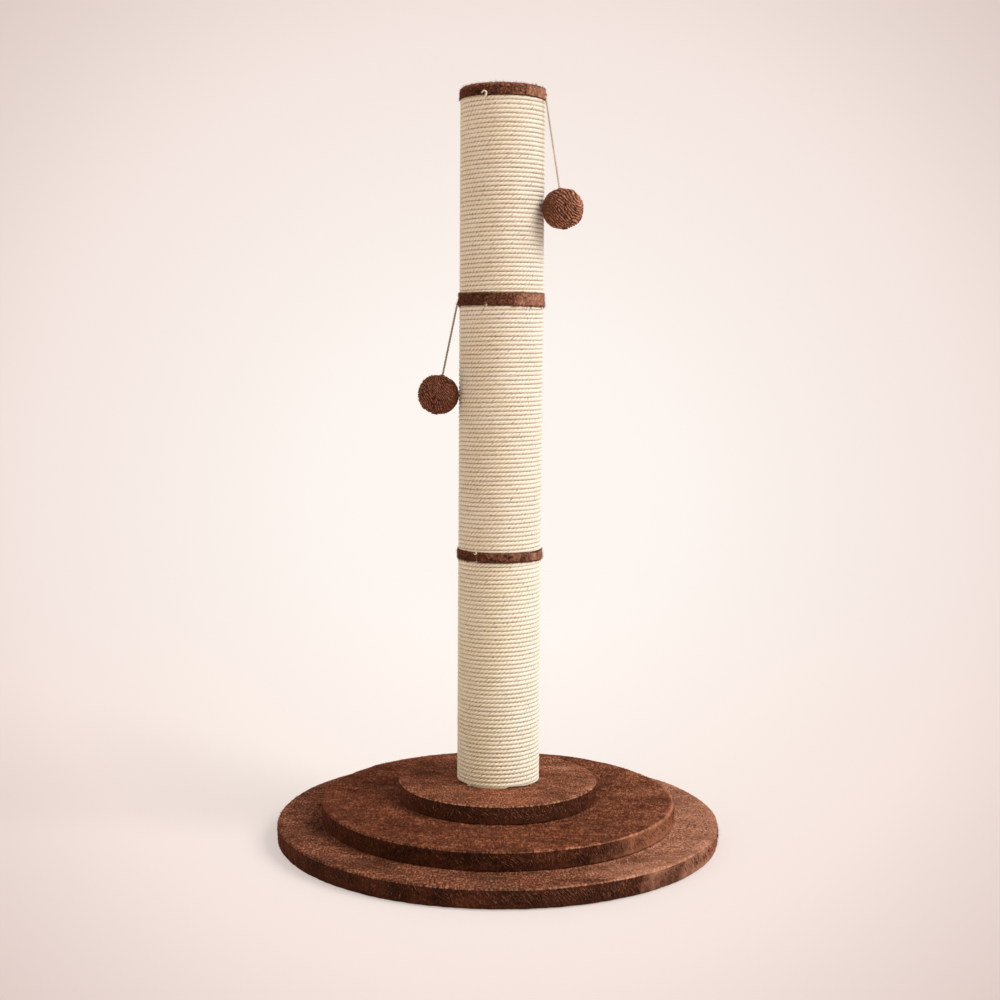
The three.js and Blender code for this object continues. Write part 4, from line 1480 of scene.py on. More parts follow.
@dataclass
class Winding:
    """One stretch of the post's rope."""

    name: str
    turns: float
    start: float  # where its lower end is, round the post
    seed: int
    yarn: Yarn = SISAL
    gap_angle: float | None = None  # where the lowest turn stands clear of the base, round the post
    gap_height: float = 2.2 * MM
    thickness: float = 5 * MM
    lay: float = 13.5 * MM  # length of one full turn of a strand
    steps: int = 136  # stations in each turn
    thin_end: float = 0.12  # how much of its height is left where its pressed ends stop
    fibres_per_turn: int = 14

    def build(self) -> None:
        """Models the rope and its loose fibres."""
        low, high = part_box(f"{self.name}_winding")
        pitch = (high.z - low.z) / self.turns
        tube = Extent.of(f"{self.name}_tube").radius
        reach = 0.5 - self.thin_end
        stations = round((self.turns + 2 * reach) * self.steps)
        turned = np.linspace(-reach, self.turns + reach, stations)
        angle = self.start + (turned + reach) * FULL_TURN
        out = np.stack([np.cos(angle), np.sin(angle), np.zeros_like(angle)], axis=1)
        line = on_a_line(angle * (tube + self.thickness / 2))
        wander = swells(line, 38 * MM, self.seed)
        bulge = swells(line, 55 * MM, self.seed + 1)
        middle = low.z + turned * pitch + 0.2 * MM * wander
        under, over = np.maximum(middle - pitch / 2, low.z), np.minimum(middle + pitch / 2, high.z)
        if self.gap_angle is not None:
            past = (angle - self.gap_angle) % FULL_TURN
            lift = self.gap_height * np.clip(past / 0.04, 0, 1) * np.clip(1 - past / 1.0, 0, 1)
            over = np.maximum(over, low.z + 1.4 * lift)
            under = np.maximum(under, np.minimum(low.z + lift, over - 0.2 * pitch))
        centre = out * (tube + self.thickness / 2 + 0.08 * MM * bulge)[:, None]
        centre[:, 2] = (under + over) / 2
        up = np.zeros_like(out)
        up[:, 2] = (over - under) / self.thickness
        uneven_lay = 1.3 * swells(line, 90 * MM, self.seed + 2)
        draft = Draft()
        self._rope().wind(draft, centre, (out, up), 1 + 0.03 * bulge, uneven_lay)
        node = f"{self.name}_winding"
        settle(draft.build(f"{self.name}_rope", self.yarn), "root", Slot.SISAL, node)
        self._add_fibres(centre, out)

    def _rope(self) -> Twist:
        """Three strands, pressed nearly square by the turns beside them."""
        return Twist(
            strands=3,
            radius=self.thickness / 2,
            lay=self.lay,
            points=((0.0, 0.87), (0.25, 0.97), (0.5, 1.0), (0.75, 0.97)),
            squareness=4.8,
            painted_groove_shade=0.62,
            lay_tone=0.6,
            groove_breaks=1.4,
        )

    def _add_fibres(self, centre: Array, out: Array) -> None:
        """Loose fibres all over the rope, and a frayed tuft at each end.

        Args:
            centre: Points along the rope's centre.
            out: The way out from the post at each of them.
        """
        random = np.random.default_rng(self.seed)
        count = round(self.turns * self.fibres_per_turn)
        station = random.integers(0, len(centre), count)
        along = unit(np.gradient(centre, axis=0))[station] * random.choice([-1, 1], (count, 1))
        rise = random.uniform(-0.55, 0.55, count)
        root = centre[station] + self.thickness / 2 * (
            np.cos(rise)[:, None] * out[station] + np.sin(rise)[:, None] * (0, 0, 0.92)
        )
        reach = random.uniform(2.5, 8.0, (count, 1)) * MM
        lift = random.uniform(0.1, 1.3, (count, 1)) * MM
        climb = random.normal(0, 0.9, (count, 1)) * MM * np.array([0, 0, 1])
        share = np.linspace(0, 1, 4)
        points = [root + reach * s * along + lift * s**1.5 * out[station] + climb * s for s in share]
        lines = np.stack(points, axis=1)
        radii = random.uniform(0.05, 0.1, (count, 1)) * MM * np.array([1.0, 0.9, 0.75, 0.4])
        draft = Draft()
        draft.strands(lines, radii)
        self._fray(draft, centre[0], out[0], -1, random)
        self._fray(draft, centre[-1], out[-1], 1, random)
        settle(draft.build(f"{self.name}_rope_fibres", LOOSE_SISAL), "root", Slot.SISAL)

    def add_curl(self, angle: float, scale: float, above: bool) -> None:
        """A loose strand of an end turn, which curls out over the plush beside it.

        Args:
            angle: Where it is, round the post.
            scale: Its size, as a factor.
            above: True at the winding's upper edge.
        """
        low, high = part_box(f"{self.name}_winding")
        edge, way = (high.z, 1) if above else (low.z, -1)
        outside = Extent.of(f"{self.name}_winding").radius
        sideward = (-0.6, 0.2, 1.8, 2.6, 1.6, -0.4, -1.4)  # in mm, at even steps along it
        away = (-0.8, 0.8, 1.9, 2.3, 2.5, 2.4, 2.2)
        past_edge = (-3.6, -2.4, -0.8, 1.0, 2.6, 2.6, 1.2)
        count = 40
        share = np.linspace(0, len(away) - 1, count)
        steps = range(len(away))
        curl = np.stack([np.interp(share, steps, part) for part in (sideward, away, past_edge)], axis=1)
        for _ in range(6):
            curl[1:-1] = (curl[:-2] + 2 * curl[1:-1] + curl[2:]) / 4
        out = outward(angle)
        ways = np.stack([sideways(angle), out, (0, 0, way)])
        path = scale * curl @ ways * MM + outside * out + (0, 0, edge)
        draft = Draft()
        thin = np.linspace(1.25, 0.7, count) * scale**0.5
        strand = Twist(2, 0.85 * MM, 6 * MM, ((0.0, 0.7), (0.33, 1.0), (0.67, 1.0)), lay_tone=0.2)
        strand.wind(draft, path, swell=thin)
        place = "top" if above else "foot"
        settle(draft.build(f"{self.name}_rope_{place}_curl", LOOSE_SISAL), "root", Slot.SISAL)

    def _fray(self, draft: Draft, place: Array, out: Array, way: int, random: Random) -> None:
        """The loose strands of one end of the rope, pressed against the turns beside it.

        Args:
            draft: The mesh that takes them.
            place: Where the rope ends.
            out: The way out from the post there.
            way: 1 where the rope ends anticlockwise, and -1 where it ends clockwise.
            random: Where the random numbers come from.
        """
        count = 12
        along = way * np.cross((0, 0, 1), out)
        spread = random.normal(size=(count, 3)) * (0.4, 0.4, 0.7)
        aims = unit(0.7 * along + 0.7 * out + spread - (0, 0, 0.2 * way))
        root = place + random.normal(size=(count, 3)) * 0.8 * MM + 1.9 * MM * out
        reach = random.uniform(2.2, 5.6, (count, 1)) * MM
        curl = unit(random.normal(size=(count, 3)) + 0.5 * out) * 0.8 * MM
        share = np.linspace(0, 1, 5)
        lines = np.stack([root + reach * s * aims + curl * s * s for s in share], axis=1)
        radii = random.uniform(0.2, 0.4, (count, 1)) * MM * np.array([1.0, 1.0, 0.9, 0.8, 0.4])
        draft.strands(lines, radii)


@dataclass
class Trim:
    """The plush of a band or of the cap, with a tuck for a cord and an overlap."""

    name: str
    seed: int
    cord_angle: float | None = None
    overlap_angle: float | None = None
    edge_rounding: float = 1.8 * MM
    cell: float = 0.85 * MM
    tuck_height: float = 2.6 * MM
    tuck_half_width: float = 1.7 * MM
    tuck_swell: float = 1.5 * MM
    turned_in: float = 3.5 * MM  # how much of each long edge of a band is folded under
    hairs_per_length: float = 2.6 / MM
    loose_hair: Hair = Hair(2.0 * MM, 0.16 * MM)
    edge_tuft: Hair = Hair(2.2 * MM, 0.24 * MM)
    raggedness: float = 0.9 * MM  # how far its cut edges wander
    ragged_size: float = 4.5 * MM  # the width of one such wave
    edge_zone: float = 4 * MM  # how far from a cut edge that fades out
    overlap_height: float = 0.9  # in mm
    overlap_drop: float = 1.2 * MM  # how much lower the strip's end hangs than its start
    overlap_step: float = 0.015  # how soon the overlap is whole, in radians
    overlap_fades: float = 0.5  # over how many radians its height is lost
    drop_fades: float = 0.9  # over how many radians the drop stays, and then is lost

    def band_outline(self) -> tuple[Outline, bool]:
        """A strip round the tube, open above and below.

        Returns:
            The section, and True, as it is closed.
        """
        band = Extent.of(f"{self.name}_band")
        inner = Extent.of("lower_tube").radius + FIT_GAP
        edge = self.edge_rounding
        outline = Outline(inner, band.low)
        outline.line(band.radius - edge, band.low, 2 * MM, 0.6)
        outline.arc((band.radius - edge, band.low + edge), edge, (-90, 0), 0.5 * MM, 1.0)
        outline.line(band.radius, band.high - edge, self.cell, 1.0)
        outline.arc((band.radius - edge, band.high - edge), edge, (0, 90), 0.5 * MM, 1.0)
        outline.line(inner, band.high, 2 * MM, 0.6)
        return outline, True

    def cap_outline(self) -> tuple[Outline, bool]:
        """A lid with a rounded top edge, closed over its board.

        Returns:
            The section, and False, as it is open at the axis.
        """
        cap, board = Extent.of("cap_cover"), Extent.of("cap_board")
        inner, centre = board.radius + FIT_GAP, 0.5 * MM
        low_edge, top_edge = 1.0 * MM, 6.5 * MM
        outline = Outline(centre, board.high + FIT_GAP)
        outline.line(inner, board.high + FIT_GAP, 20 * MM)
        outline.line(inner, cap.low, 4 * MM)
        outline.line(cap.radius - low_edge, cap.low, 1 * MM, 0.3)
        outline.arc((cap.radius - low_edge, cap.low + low_edge), low_edge, (-90, 0), 0.4 * MM, 1.0)
        outline.line(cap.radius, cap.high - top_edge, self.cell, 1.0)
        outline.arc((cap.radius - top_edge, cap.high - top_edge), top_edge, (0, 90), 0.7 * MM, 1.0)
        outline.line(centre, cap.high, 1.1 * MM, 1.0)
        return outline, False

    def build(self, outline: Outline, looped: bool, node: str) -> None:
        """Models the plush over a section.

        Args:
            outline: The section.
            looped: True if the section closes on itself.
            node: The solid that the piece stands for.
        """
        solid = Extent.of(node)
        plush = outline.turned(round(FULL_TURN * solid.radius / self.cell), looped)
        tufts = swells(plush.rings, 2.6 * MM, self.seed)
        relief = 0.3 * tufts + 0.25 * swells(plush.rings, 11 * MM, self.seed + 1)
        relief = relief + 0.15 * swells(plush.rings, 1.7 * MM, self.seed + 2)
        if self.overlap_angle is not None:
            relief = relief + self._overlap(plush.rings)
        plush.raise_by(relief * MM)
        self._fray(plush, solid, looped)
        if self.overlap_angle is not None:
            self._drop(plush, solid.low)
        if self.cord_angle is not None:
            self._tuck(plush, solid.low)
        draft = Draft()
        draft.shell(plush.rings, looped, heights=np.clip(0.45 + 0.9 * tufts, 0, 1))
        name = node.replace("_cover", "")
        piece = settle(draft.build(f"{name}_plush", TRIM_PLUSH), "root", Slot.PLUSH, node)
        random = np.random.default_rng(self.seed)
        outside = plush.soft * (plush.soft > 0.9)
        count = round(self.hairs_per_length * FULL_TURN * solid.radius)
        hairs = Draft()
        roots, normals = plush.roots(count, random, outside)
        self.loose_hair.grow(hairs, roots, 0.7 * normals + (0.2, 0, -0.25), random)
        at_edges = outside * (np.abs(plush.normals[..., 2]) > 0.4)
        roots, normals = plush.roots(count, random, at_edges)
        self.edge_tuft.grow(hairs, roots, normals * (0.5, 0.5, 1.4), random)
        finish = replace(TRIM_PLUSH, name="trim_hairs", relief_tone=0.7)
        hairs = settle(hairs.build(f"{name}_hairs", finish), "root", Slot.PLUSH)
        flat, area = self._cut(solid, looped)

    def _cut(self, solid: Extent, looped: bool) -> tuple[Span, float]:
        """The flat piece: a strip with both long edges turned in, or a disc for the cap.

        Args:
            solid: Where the solid lies.
            looped: True for a strip.

        Returns:
            Its size and its area.
        """
        height = solid.high - solid.low
        if looped:
            flat = (FULL_TURN * solid.radius, height + 2 * self.turned_in)
            return flat, flat[0] * flat[1]
        radius = solid.radius + height
        return (2 * radius, 2 * radius), math.pi * radius**2

    def _past_overlap(self, rings: Array) -> Array:
        """How far round from the strip's start each point is, in radians."""
        return (np.arctan2(rings[..., 1], rings[..., 0]) - self.overlap_angle) % FULL_TURN

    def _overlap(self, rings: Array) -> Array:
        """The step where the strip's end lies over its start, in mm."""
        past = self._past_overlap(rings)
        fading = np.clip(1 - past / self.overlap_fades, 0, 1)
        return self.overlap_height * np.clip(past / self.overlap_step, 0, 1) * fading

    def _outside(self, rings: Array) -> Array:
        """One for the points that stand out past the rope, and nought inside it."""
        past_rope = norm(rings[..., :2], axis=-1) - Extent.of("upper_winding").radius
        return np.clip((past_rope + 0.2 * MM) / (0.6 * MM), 0, 1)

    def _near(self, distance: Array) -> Array:
        """One at a cut edge, and nought where the edge's zone ends."""
        return np.clip(1 - distance / self.edge_zone, 0, 1)

    def _fray(self, plush: Turned, solid: Extent, looped: bool) -> None:
        """Lets the cut edges wander up and down: both of a band, and the lower one of the cap.

        Args:
            plush: The surface.
            solid: Where the solid lies.
            looped: True for a band.
        """
        rings = plush.rings
        around = rings * (1, 1, 0)
        wander = swells(around, self.ragged_size, self.seed + 5)
        shift = wander * self._near(rings[..., 2] - solid.low)
        if looped:
            wander = swells(around, self.ragged_size, self.seed + 6)
            shift = shift + wander * self._near(solid.high - rings[..., 2])
        rings[..., 2] += self.raggedness * self._outside(rings) * shift

    def _drop(self, plush: Turned, low: float) -> None:
        """Lets the strip's end hang a little lower than its start, outside the rope.

        Args:
            plush: The surface.
            low: The height of its lower edge.
        """
        rings = plush.rings
        past = self._past_overlap(rings)
        fading = np.clip(2 - past / self.drop_fades, 0, 1)
        along = np.clip(past / self.overlap_step, 0, 1) * fading
        near = self._near(rings[..., 2] - low)
        rings[..., 2] -= self.overlap_drop * self._outside(rings) * near * along

    def _tuck(self, plush: Turned, low: float) -> None:
        """Lifts the lower edge over the cord that comes out beneath it, and swells over its knot.

        Args:
            plush: The surface.
            low: The height of its lower edge.
        """
        rings = plush.rings
        side = rings @ sideways(self.cord_angle)
        front = rings @ outward(self.cord_angle) > 0
        above = np.exp(-(((rings[..., 2] - low) / (2 * self.tuck_height)) ** 4))
        swell = self.tuck_swell * np.exp(-((side / (2 * self.tuck_half_width)) ** 2)) * above * front
        rings += plush.normals * (swell * plush.soft)[..., None]
        held_up = np.exp(-((side / self.tuck_half_width) ** 4)) * front
        lowest = low + self.tuck_height * held_up - self.tuck_height * (1 - held_up)
        rings[..., 2] = np.maximum(rings[..., 2], lowest)


@dataclass
class Post:
    """Rope over three tubes, with plush over the joints and on top."""

    def build(self) -> None:
        """Models the rope and the plush and dresses what they hide."""
        radians = math.radians
        Winding(
            "lower", turns=53.26, start=radians(-132), seed=101, yarn=LOWER_SISAL, gap_angle=radians(-78)
        ).build()
        middle = Winding("middle", turns=56.74, start=radians(66), seed=111)
        middle.build()
        middle.add_curl(radians(-125), scale=0.75, above=False)
        middle.add_curl(radians(-111), scale=0.5, above=True)
        upper = Winding("upper", turns=43.74, start=radians(65), seed=121)
        upper.build()
        upper.add_curl(radians(-115), scale=1.4, above=True)
        lower_band = Trim("lower", seed=41)
        lower_band.build(*lower_band.band_outline(), "lower_band")
        hung_from = Toy("lower").angle()
        upper_band = Trim("upper", seed=51, cord_angle=hung_from, overlap_angle=radians(-75))
        upper_band.build(*upper_band.band_outline(), "upper_band")
        cap = Trim("cap", seed=61, cord_angle=Toy("upper").angle())
        cap.build(*cap.cap_outline(), "cap_cover")
        for name in ("lower", "middle", "upper"):
            dress(CARDBOARD, f"{name}_tube")
            dress(PLYWOOD, f"{name}_bottom_plug", f"{name}_top_plug")
        dress(CHIPBOARD, "cap_board")
        dress(SMOOTH_ZINC, "lower_bottom_insert", "lower_top_insert")
        dress(SMOOTH_ZINC, "middle_bottom_insert", "middle_top_insert", "upper_bottom_insert")
        dress(ZINC, "lower_stud", "upper_stud", "cap_screw_1", "cap_screw_2")


# ---- Toys ----


@dataclass
class Toy:
    """A plush ball on a twisted cord."""

    name: str
    yarn: Yarn = UPPER_CORD
    plush: Plush = UPPER_BALL_PLUSH
    seed: int = 0
    ball_radius: float = 21.8 * MM
    pile: float = 2.3 * MM
    ridge_width: float = 2.6 * MM
    cord_radius: float = 0.9 * MM
    cord_hole: float = 1.2 * MM
    knot_hole: float = 2.3 * MM
    knot_depth: float = 14 * MM
    knot_gap: float = 1.6 * MM  # from the pivot's centre to the cord
    swing_knot_size: float = 1.45 * MM  # half its width
    ball_knot_size: float = 2.2 * MM
    fluff: Hair = Hair(0.9 * MM, 0.035 * MM)
    fluff_count: int = 90
    ball_hair: Hair = Hair(1.0 * MM, 0.06 * MM)
    ball_hair_count: int = 1000
    nap_drift: float = 6.5 * MM  # how far the combed ridges stray from straight lines
    nap_shake: float = 0.8 * MM  # the same, over a short way
    rubbed_depth: float = 14 * MM  # over what depth the pile is rubbed down towards the post

    def joint(self, name: str) -> dict:
        """One joint of the toy, as the record has it."""
        return next(joint for joint in frame["joints"] if joint["name"] == f"{self.name}_{name}")

    def pivot(self) -> Array:
        """Where the cord leaves the plush."""
        return np.array(self.joint("toy_swing_out")["pos_m"])

    def centre(self) -> Array:
        """The ball's centre."""
        return np.array(self.joint("ball_spin")["pos_m"])

    def angle(self) -> float:
        """Where the toy hangs, round the post."""
        x, y, _ = self.pivot()
        return math.atan2(y, x)

    def body(self, body: Body) -> str:
        """The name of one of the toy's bodies."""
        return f"{self.name}_{body.value}"

    def twist(self, radius: float) -> Twist:
        """Two plies laid into a cord."""
        places = ((0.0, 1.0), (0.17, 0.97), (0.33, 0.86), (0.5, 0.72), (0.67, 0.86), (0.83, 0.97))
        return Twist(2, 1.28 * radius, 5.6 * MM, places)

    def build(self) -> None:
        """Models the cord, its knots and the ball."""
        cord = self._cord()
        end_knot = self._end_knot()
        start, length = self.pivot().tolist(), self._cord_length()
        path, width = self._cord_path(30).tolist(), 2 * self.cord_radius
        self._pivot_knot()
        self._anchor()
        self._ball()

    def _axis(self) -> Array:
        """The way from the ball to the pivot."""
        return unit(self.pivot() - self.centre())

    def _cord_length(self) -> float:
        """From the knot at the plush to the knot in the ball."""
        return float(norm(self.pivot() - self.centre())) + self.knot_depth - self.knot_gap

    def _cord_path(self, count: int) -> Array:
        """Points along the cord's centre, with a slight bow.

        Args:
            count: How many points.

        Returns:
            The points, from the pivot to the knot in the ball.
        """
        share = np.linspace(0, 1, count)[:, None]
        start = self.pivot() - self._axis() * self.knot_gap
        end = self.centre() - self._axis() * self.knot_depth
        bow = 0.25 * MM * np.sin(share * math.pi * 3) * np.array([0, 1, 0])
        return start + share * (end - start) + bow * np.clip(6 * (1 - share) - 1.5, 0, 1)

    def _cord(self) -> Piece:
        """The cord itself, with its fluff."""
        path = self._cord_path(240)
        draft = Draft()
        self.twist(self.cord_radius).wind(draft, path)
        self._add_fluff(draft, path)
        piece = draft.build(f"{self.name}_toy_twine", self.yarn)
        return settle(piece, self.body(Body.CORD), Slot.CORD, f"{self.name}_cord")

    def _add_fluff(self, draft: Draft, path: Array) -> None:
        """Adds short fibres that stand from the free part of the cord.

        Args:
            draft: The mesh that takes them.
            path: Points along the cord's centre.
        """
        random = np.random.default_rng(self.seed + 7)
        count = self.fluff_count
        station = random.integers(2, int(0.7 * len(path)), count)
        side, other = carried_sides(path)
        angle = random.uniform(0, FULL_TURN, (count, 1))
        out = np.cos(angle) * side[station] + np.sin(angle) * other[station]
        roots = path[station] + 0.7 * self.cord_radius * out
        self.fluff.grow(draft, roots, out + 0.8 * self._axis(), random)

    def _knot(self, place: Array, size: float, name: str, body: Body, node: str) -> Piece:
        """An overhand knot pulled tight.

        Args:
            place: Its centre.
            size: Its half width.
            name: The piece's name.
            body: The body that it rides on.
            node: The solid that it stands for.

        Returns:
            The knot.
        """
        turn = np.linspace(0, FULL_TURN, 60)[:-1]
        x = np.sin(turn) + 2 * np.sin(2 * turn)
        y = np.cos(turn) - 2 * np.cos(2 * turn)
        z = -1.6 * np.sin(3 * turn)
        radius = 0.7 * self.cord_radius
        path = place + np.stack([x, y, z], axis=1) * (size - radius) / 3
        draft = Draft()
        self.twist(radius).wind(draft, path)
        return settle(draft.build(name, self.yarn), self.body(body), Slot.CORD, node)

    def _pivot_knot(self) -> None:
        """The knot that the cord swings from."""
        name, node = f"{self.name}_swing_knot", f"{self.name}_cord_knot"
        self._knot(self.pivot(), self.swing_knot_size, name, Body.PIVOT, node)

    def _end_knot(self) -> Piece:
        """The knot that holds the ball."""
        place = self.centre() - self._axis() * (self.knot_depth + self.knot_hole)
        name, node = f"{self.name}_ball_knot", f"{self.name}_end_knot"
        return self._knot(place, self.ball_knot_size, name, Body.CORD, node)

    def _anchor(self) -> None:
        """The end of the cord that the plush holds."""
        node = f"{self.name}_cord_anchor"
        low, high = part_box(node)
        corners = np.array([[low.x, low.y], [high.x, high.y], [low.x, high.y], [high.x, low.y]])
        reach = norm(corners, axis=1)
        height = np.array([0, 0, (low.z + high.z) / 2])
        along = np.linspace(reach.min(), reach.max(), 24)[:, None]
        path = height + along * outward(self.angle())
        draft = Draft()
        self.twist(self.cord_radius).wind(draft, path)
        settle(draft.build(f"{self.name}_held_twine", self.yarn), "root", Slot.CORD, node)

    def _hung(self, rings: Array) -> Array:
        """Rings about the ball's centre, turned so that their Z lies along the cord."""
        turn = Vector((0, 0, 1)).rotation_difference(Vector(self._axis()))
        return rings @ np.array(turn.to_matrix()).T + self.centre()

    def _ball_ends(self, radius: float) -> Span:
        """Where a ball's side meets its two holes, in degrees from outward."""
        low = math.degrees(math.asin(self.knot_hole / radius)) - 90
        return low, 90 - math.degrees(math.asin(self.cord_hole / radius))

    def _ball_section(self, radius: float, step: float, soft: float) -> Outline:
        """The side of a ball, from the knot's hole up to the cord's.

        Args:
            radius: The ball's radius.
            step: The most between two points on the way.
            soft: How much of the pile's relief it has, from 0 to 1.

        Returns:
            The section so far.
        """
        low, high = self._ball_ends(radius)
        start = math.radians(low)
        outline = Outline(radius * math.cos(start), radius * math.sin(start))
        return outline.arc((0.0, 0.0), radius, (low, high), step, soft)

    def _ball(self) -> None:
        """The pile, its loose hairs and the stuffing."""
        inner = self.ball_radius - self.pile
        outline = self._ball_section(self.ball_radius, 0.45 * MM, 1.0)
        low, high = self._ball_ends(inner)
        outline.arc((0.0, 0.0), inner, (high, low), 5 * MM)
        pile = outline.turned(300, True)
        crests = self._ridges(pile.rings)
        lumps = swells(pile.rings, 13 * MM, self.seed + 4)
        height = pile.rings[..., 2] / self.ball_radius
        at_top, at_foot = np.exp(-(((1 - height) / 0.12) ** 2)), np.exp(-(((1 + height) / 0.12) ** 2))
        pile.raise_by((1.2 * (crests - 0.5) + 0.4 * lumps - (1.3 * at_top + at_foot)) * MM)
        draft = Draft()
        draft.shell(self._hung(pile.rings), True, heights=crests)
        body = self.body(Body.BALL)
        piece = draft.build(f"{self.name}_ball_pile", self.plush)
        settle(piece, body, Slot.PLUSH, f"{self.name}_ball_cover")
        random = np.random.default_rng(self.seed)
        roots, normals = pile.roots(self.ball_hair_count, random)
        hairs = Draft()
        self.ball_hair.grow(hairs, roots, normals, random)
        hairs.points = [self._hung(points) for points in hairs.points]
        settle(hairs.build(f"{self.name}_ball_hairs", self.plush), body, Slot.PLUSH)
        self._stuffing(inner - FIT_GAP)

    def _ridges(self, points: Array) -> Array:
        """Combed crests side by side, worn smooth where the ball rubs on the post.

        Args:
            points: Places on the ball, from its centre.

        Returns:
            The pile's height at each of them, from 0 to 1.
        """
        across = unit(np.array((1.0, 0.0, 1.0)))
        drift = self.nap_drift * swells(points, 24 * MM, self.seed + 13)
        drift = drift + self.nap_shake * swells(points, 5 * MM, self.seed + 9)
        combed = 0.5 + 0.6 * np.cos(FULL_TURN * (points @ across + drift) / self.ridge_width)
        whole = np.clip(0.75 + swells(points, 3.2 * MM, self.seed + 11), 0, 1)
        towards_post = -(points @ outward(self.angle()))
        worn = np.clip(towards_post / self.rubbed_depth - 0.2, 0, 0.8)
        return 0.3 + (combed.clip(0, 1) * whole - 0.3) * (1 - worn)

    def _stuffing(self, radius: float) -> None:
        """The pressed filling, bored for the cord, with a seat for its knot.

        Args:
            radius: The filling's radius.
        """
        outline = self._ball_section(radius, 1.8 * MM, 1.0)
        outline.line(self.cord_hole, -self.knot_depth, 8 * MM)
        outline.line(self.knot_hole, -self.knot_depth, 2 * MM)
        core = outline.turned(60, True)
        lumps = swells(core.rings, 6 * MM, self.seed + 12)
        core.raise_by(-0.5 * MM * np.abs(lumps))
        draft = Draft()
        draft.shell(self._hung(core.rings), True)
        piece = draft.build(f"{self.name}_ball_filling", STUFFING)
        filling = settle(piece, self.body(Body.BALL), Slot.STUFFING, f"{self.name}_ball_core")


# ---- Studio ----


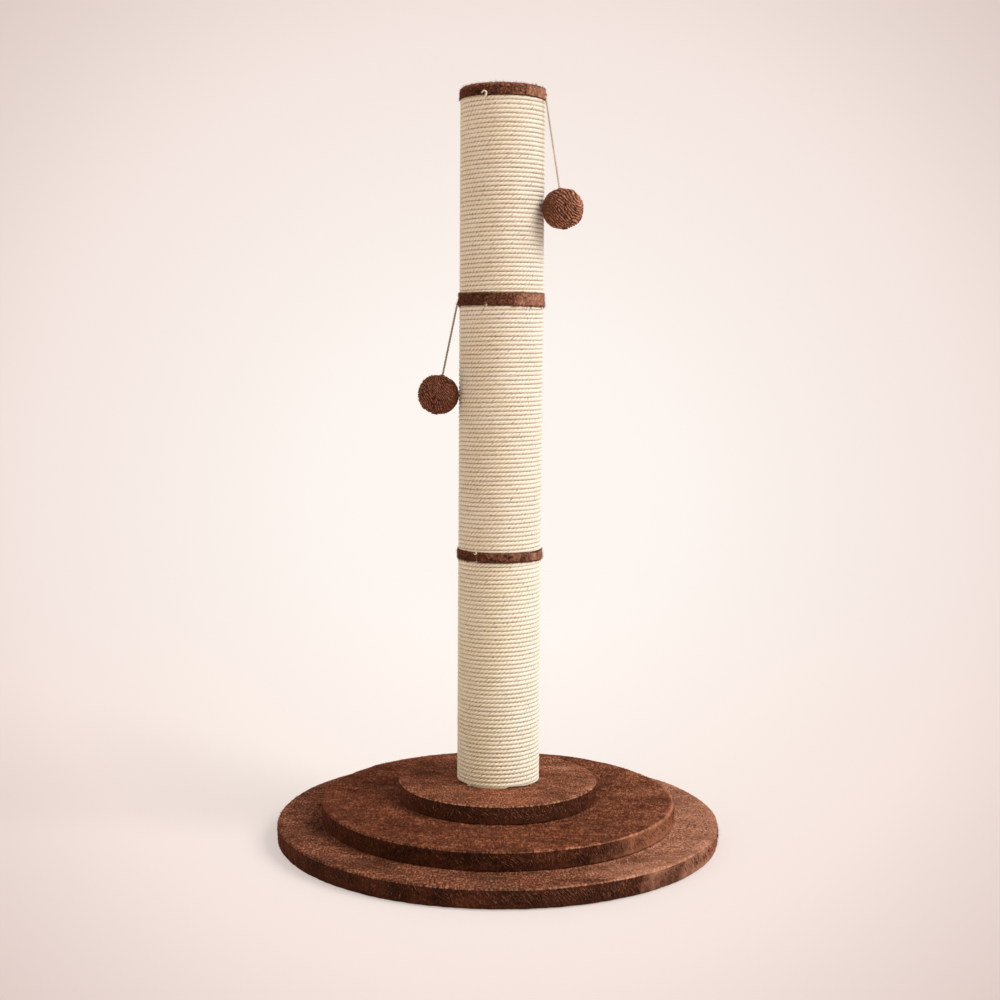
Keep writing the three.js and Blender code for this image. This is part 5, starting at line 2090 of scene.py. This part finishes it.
@dataclass
class Studio:
    """The camera, the lamps, the floor and what lies behind it."""

    camera_place: Triple = (0.0, -1.6854, 0.5344)
    camera_lens: float = 56.34
    film_width: float = 36.0  # in mm, as the lens is
    camera_pitch: float = math.radians(5.56)
    camera_roll: float = math.radians(0.41)
    floor_radius: float = 60.0
    floor_lightened: float = 0.55  # how much of the background's own light it has near the object
    floor_fading: Span = (0.5, 2.0)  # from where to where it turns into the background
    glow: Colour = rgb(254, 247, 241)
    middle: Colour = rgb(243, 228, 222)
    corner: Colour = rgb(222, 205, 199)
    sky: Colour = rgb(255, 251, 247)
    sky_light: float = 0.5
    key_strength: float = 2.5
    key_height: float = math.radians(40)
    key_side: float = math.radians(66)  # to the right of the camera
    fill_strength: float = 0.55
    fill_height: float = math.radians(10)
    fill_side: float = math.radians(-40)
    fill_tint: Triple = (1.0, 0.86, 0.7)
    softness: float = math.radians(34)

    def build(self) -> None:
        """Sets up the picture."""
        bpy.context.scene.view_settings.view_transform = "Standard"
        self._camera()
        self._lamp("key", self.key_strength, self.key_height, self.key_side)
        self._lamp("fill", self.fill_strength, self.fill_height, self.fill_side, self.fill_tint)
        self._world()
        self._floor()

    def _camera(self) -> None:
        """A camera where the photograph was taken from."""
        data = bpy.data.cameras.new("camera")
        data.lens = self.camera_lens
        camera = bpy.data.objects.new("camera", data)
        tilt = Matrix.Rotation(math.pi / 2 - self.camera_pitch, 4, "X")
        roll = Matrix.Rotation(self.camera_roll, 4, "Z")
        camera.matrix_world = Matrix.Translation(self.camera_place) @ tilt @ roll
        bpy.context.scene.collection.objects.link(camera)
        bpy.context.scene.camera = camera

    def _lamp(
        self, name: str, strength: float, height: float, side: float, tint: Triple = (1.0, 1.0, 1.0)
    ) -> None:
        """A wide, even lamp.

        Args:
            name: Its name.
            strength: Its strength.
            height: How far above the horizon it stands.
            side: How far to the right of the camera it stands.
            tint: Its colour.
        """
        data = bpy.data.lights.new(name, "SUN")
        data.energy = strength
        data.color = tint
        data.angle = self.softness
        lamp = bpy.data.objects.new(name, data)
        level = math.cos(height)
        away = Vector((math.sin(side) * level, -math.cos(side) * level, math.sin(height)))
        lamp.rotation_mode = "QUATERNION"
        lamp.rotation_quaternion = away.to_track_quat("Z", "Y")
        bpy.context.scene.collection.objects.link(lamp)

    def _backdrop_colour(self, recipe: Recipe, direction: Signal) -> Signal:
        """A pale tone that darkens away from the middle of the picture.

        Args:
            recipe: The nodes that take it.
            direction: The way from the camera's place to each point, at length one.

        Returns:
            The colour.
        """
        aim = (0.0, math.cos(self.camera_pitch), -math.sin(self.camera_pitch))
        settings = {"operation": "DOT_PRODUCT"}
        ahead = recipe.node("ShaderNodeVectorMath", settings, {0: direction, 1: aim}, "Value")
        off_axis = (1 / (ahead * ahead) - 1) ** 0.5
        corner = self.film_width / 2 / self.camera_lens * math.sqrt(2)
        stops = ((0.2, self.glow), (0.7, self.middle), (1.0, self.corner))
        return recipe.node("ShaderNodeValToRGB", {"stops": stops}, {0: off_axis / corner})

    def _seen_directly(self, recipe: Recipe) -> Signal:
        """1 for rays from the camera, through glass or off metal, and else 0."""
        names = ("Is Camera Ray", "Is Glossy Ray", "Is Transmission Ray")
        camera, glossy, through = (recipe.node("ShaderNodeLightPath", {}, {}, name) for name in names)
        return recipe.maths("MINIMUM", camera + glossy + through, 1.0)

    def _world(self) -> None:
        """Even light from all round, and the pale tone where it is seen."""
        world = bpy.data.worlds.new("studio")
        bpy.context.scene.world = world
        recipe = Recipe(world)
        direction = recipe.node("ShaderNodeTexCoord", output="Generated")
        backdrop = self._backdrop_colour(recipe, direction)
        seen = recipe.node("ShaderNodeBackground", {}, {"Color": backdrop})
        even = {"Color": self.sky, "Strength": self.sky_light}
        light = recipe.node("ShaderNodeBackground", {}, even)
        share = self._seen_directly(recipe)
        mixed = recipe.node("ShaderNodeMixShader", {}, {0: share, 1: light, 2: seen})
        recipe.end(mixed, "ShaderNodeOutputWorld")

    def _floor(self) -> None:
        """A plain pale floor that takes the object's shadow and fades into the background."""
        mesh = bpy.data.meshes.new("floor")
        reach = self.floor_radius
        corners = [(-reach, -reach, 0), (reach, -reach, 0), (reach, reach, 0), (-reach, reach, 0)]
        mesh.from_pydata(corners, [], [(0, 1, 2, 3)])
        floor = bpy.data.objects.new("floor", mesh)
        bpy.context.scene.collection.objects.link(floor)
        material = bpy.data.materials.new("floor")
        recipe = Recipe(material)
        place = recipe.node("ShaderNodeNewGeometry", {}, {}, "Position")
        offset = place - self.camera_place
        direction = recipe.node("ShaderNodeVectorMath", {"operation": "NORMALIZE"}, {0: offset})
        colour = self._backdrop_colour(recipe, direction)
        lightened = self.floor_lightened
        bare = recipe.between(recipe.length(place), *self.floor_fading) * (1 - lightened) + lightened
        lit = recipe.node("ShaderNodeBsdfDiffuse", {}, {"Color": colour})
        even = recipe.node("ShaderNodeEmission", {}, {"Color": colour})
        share = self._seen_directly(recipe) * bare
        recipe.end(recipe.node("ShaderNodeMixShader", {}, {0: share, 1: lit, 2: even}))
        mesh.materials.append(material)


def main() -> None:
    """Builds the picture and the object, piece by piece."""
    logging.basicConfig(level=logging.INFO, format="%(message)s")
    Studio().build()
    Toy("upper", UPPER_CORD, UPPER_BALL_PLUSH, 201).build()
    Toy("lower", LOWER_CORD, SHADED_LOWER_BALL_PLUSH, 301).build()
    Base().build()
    Post().build()


if __name__ == "__main__":
    main()
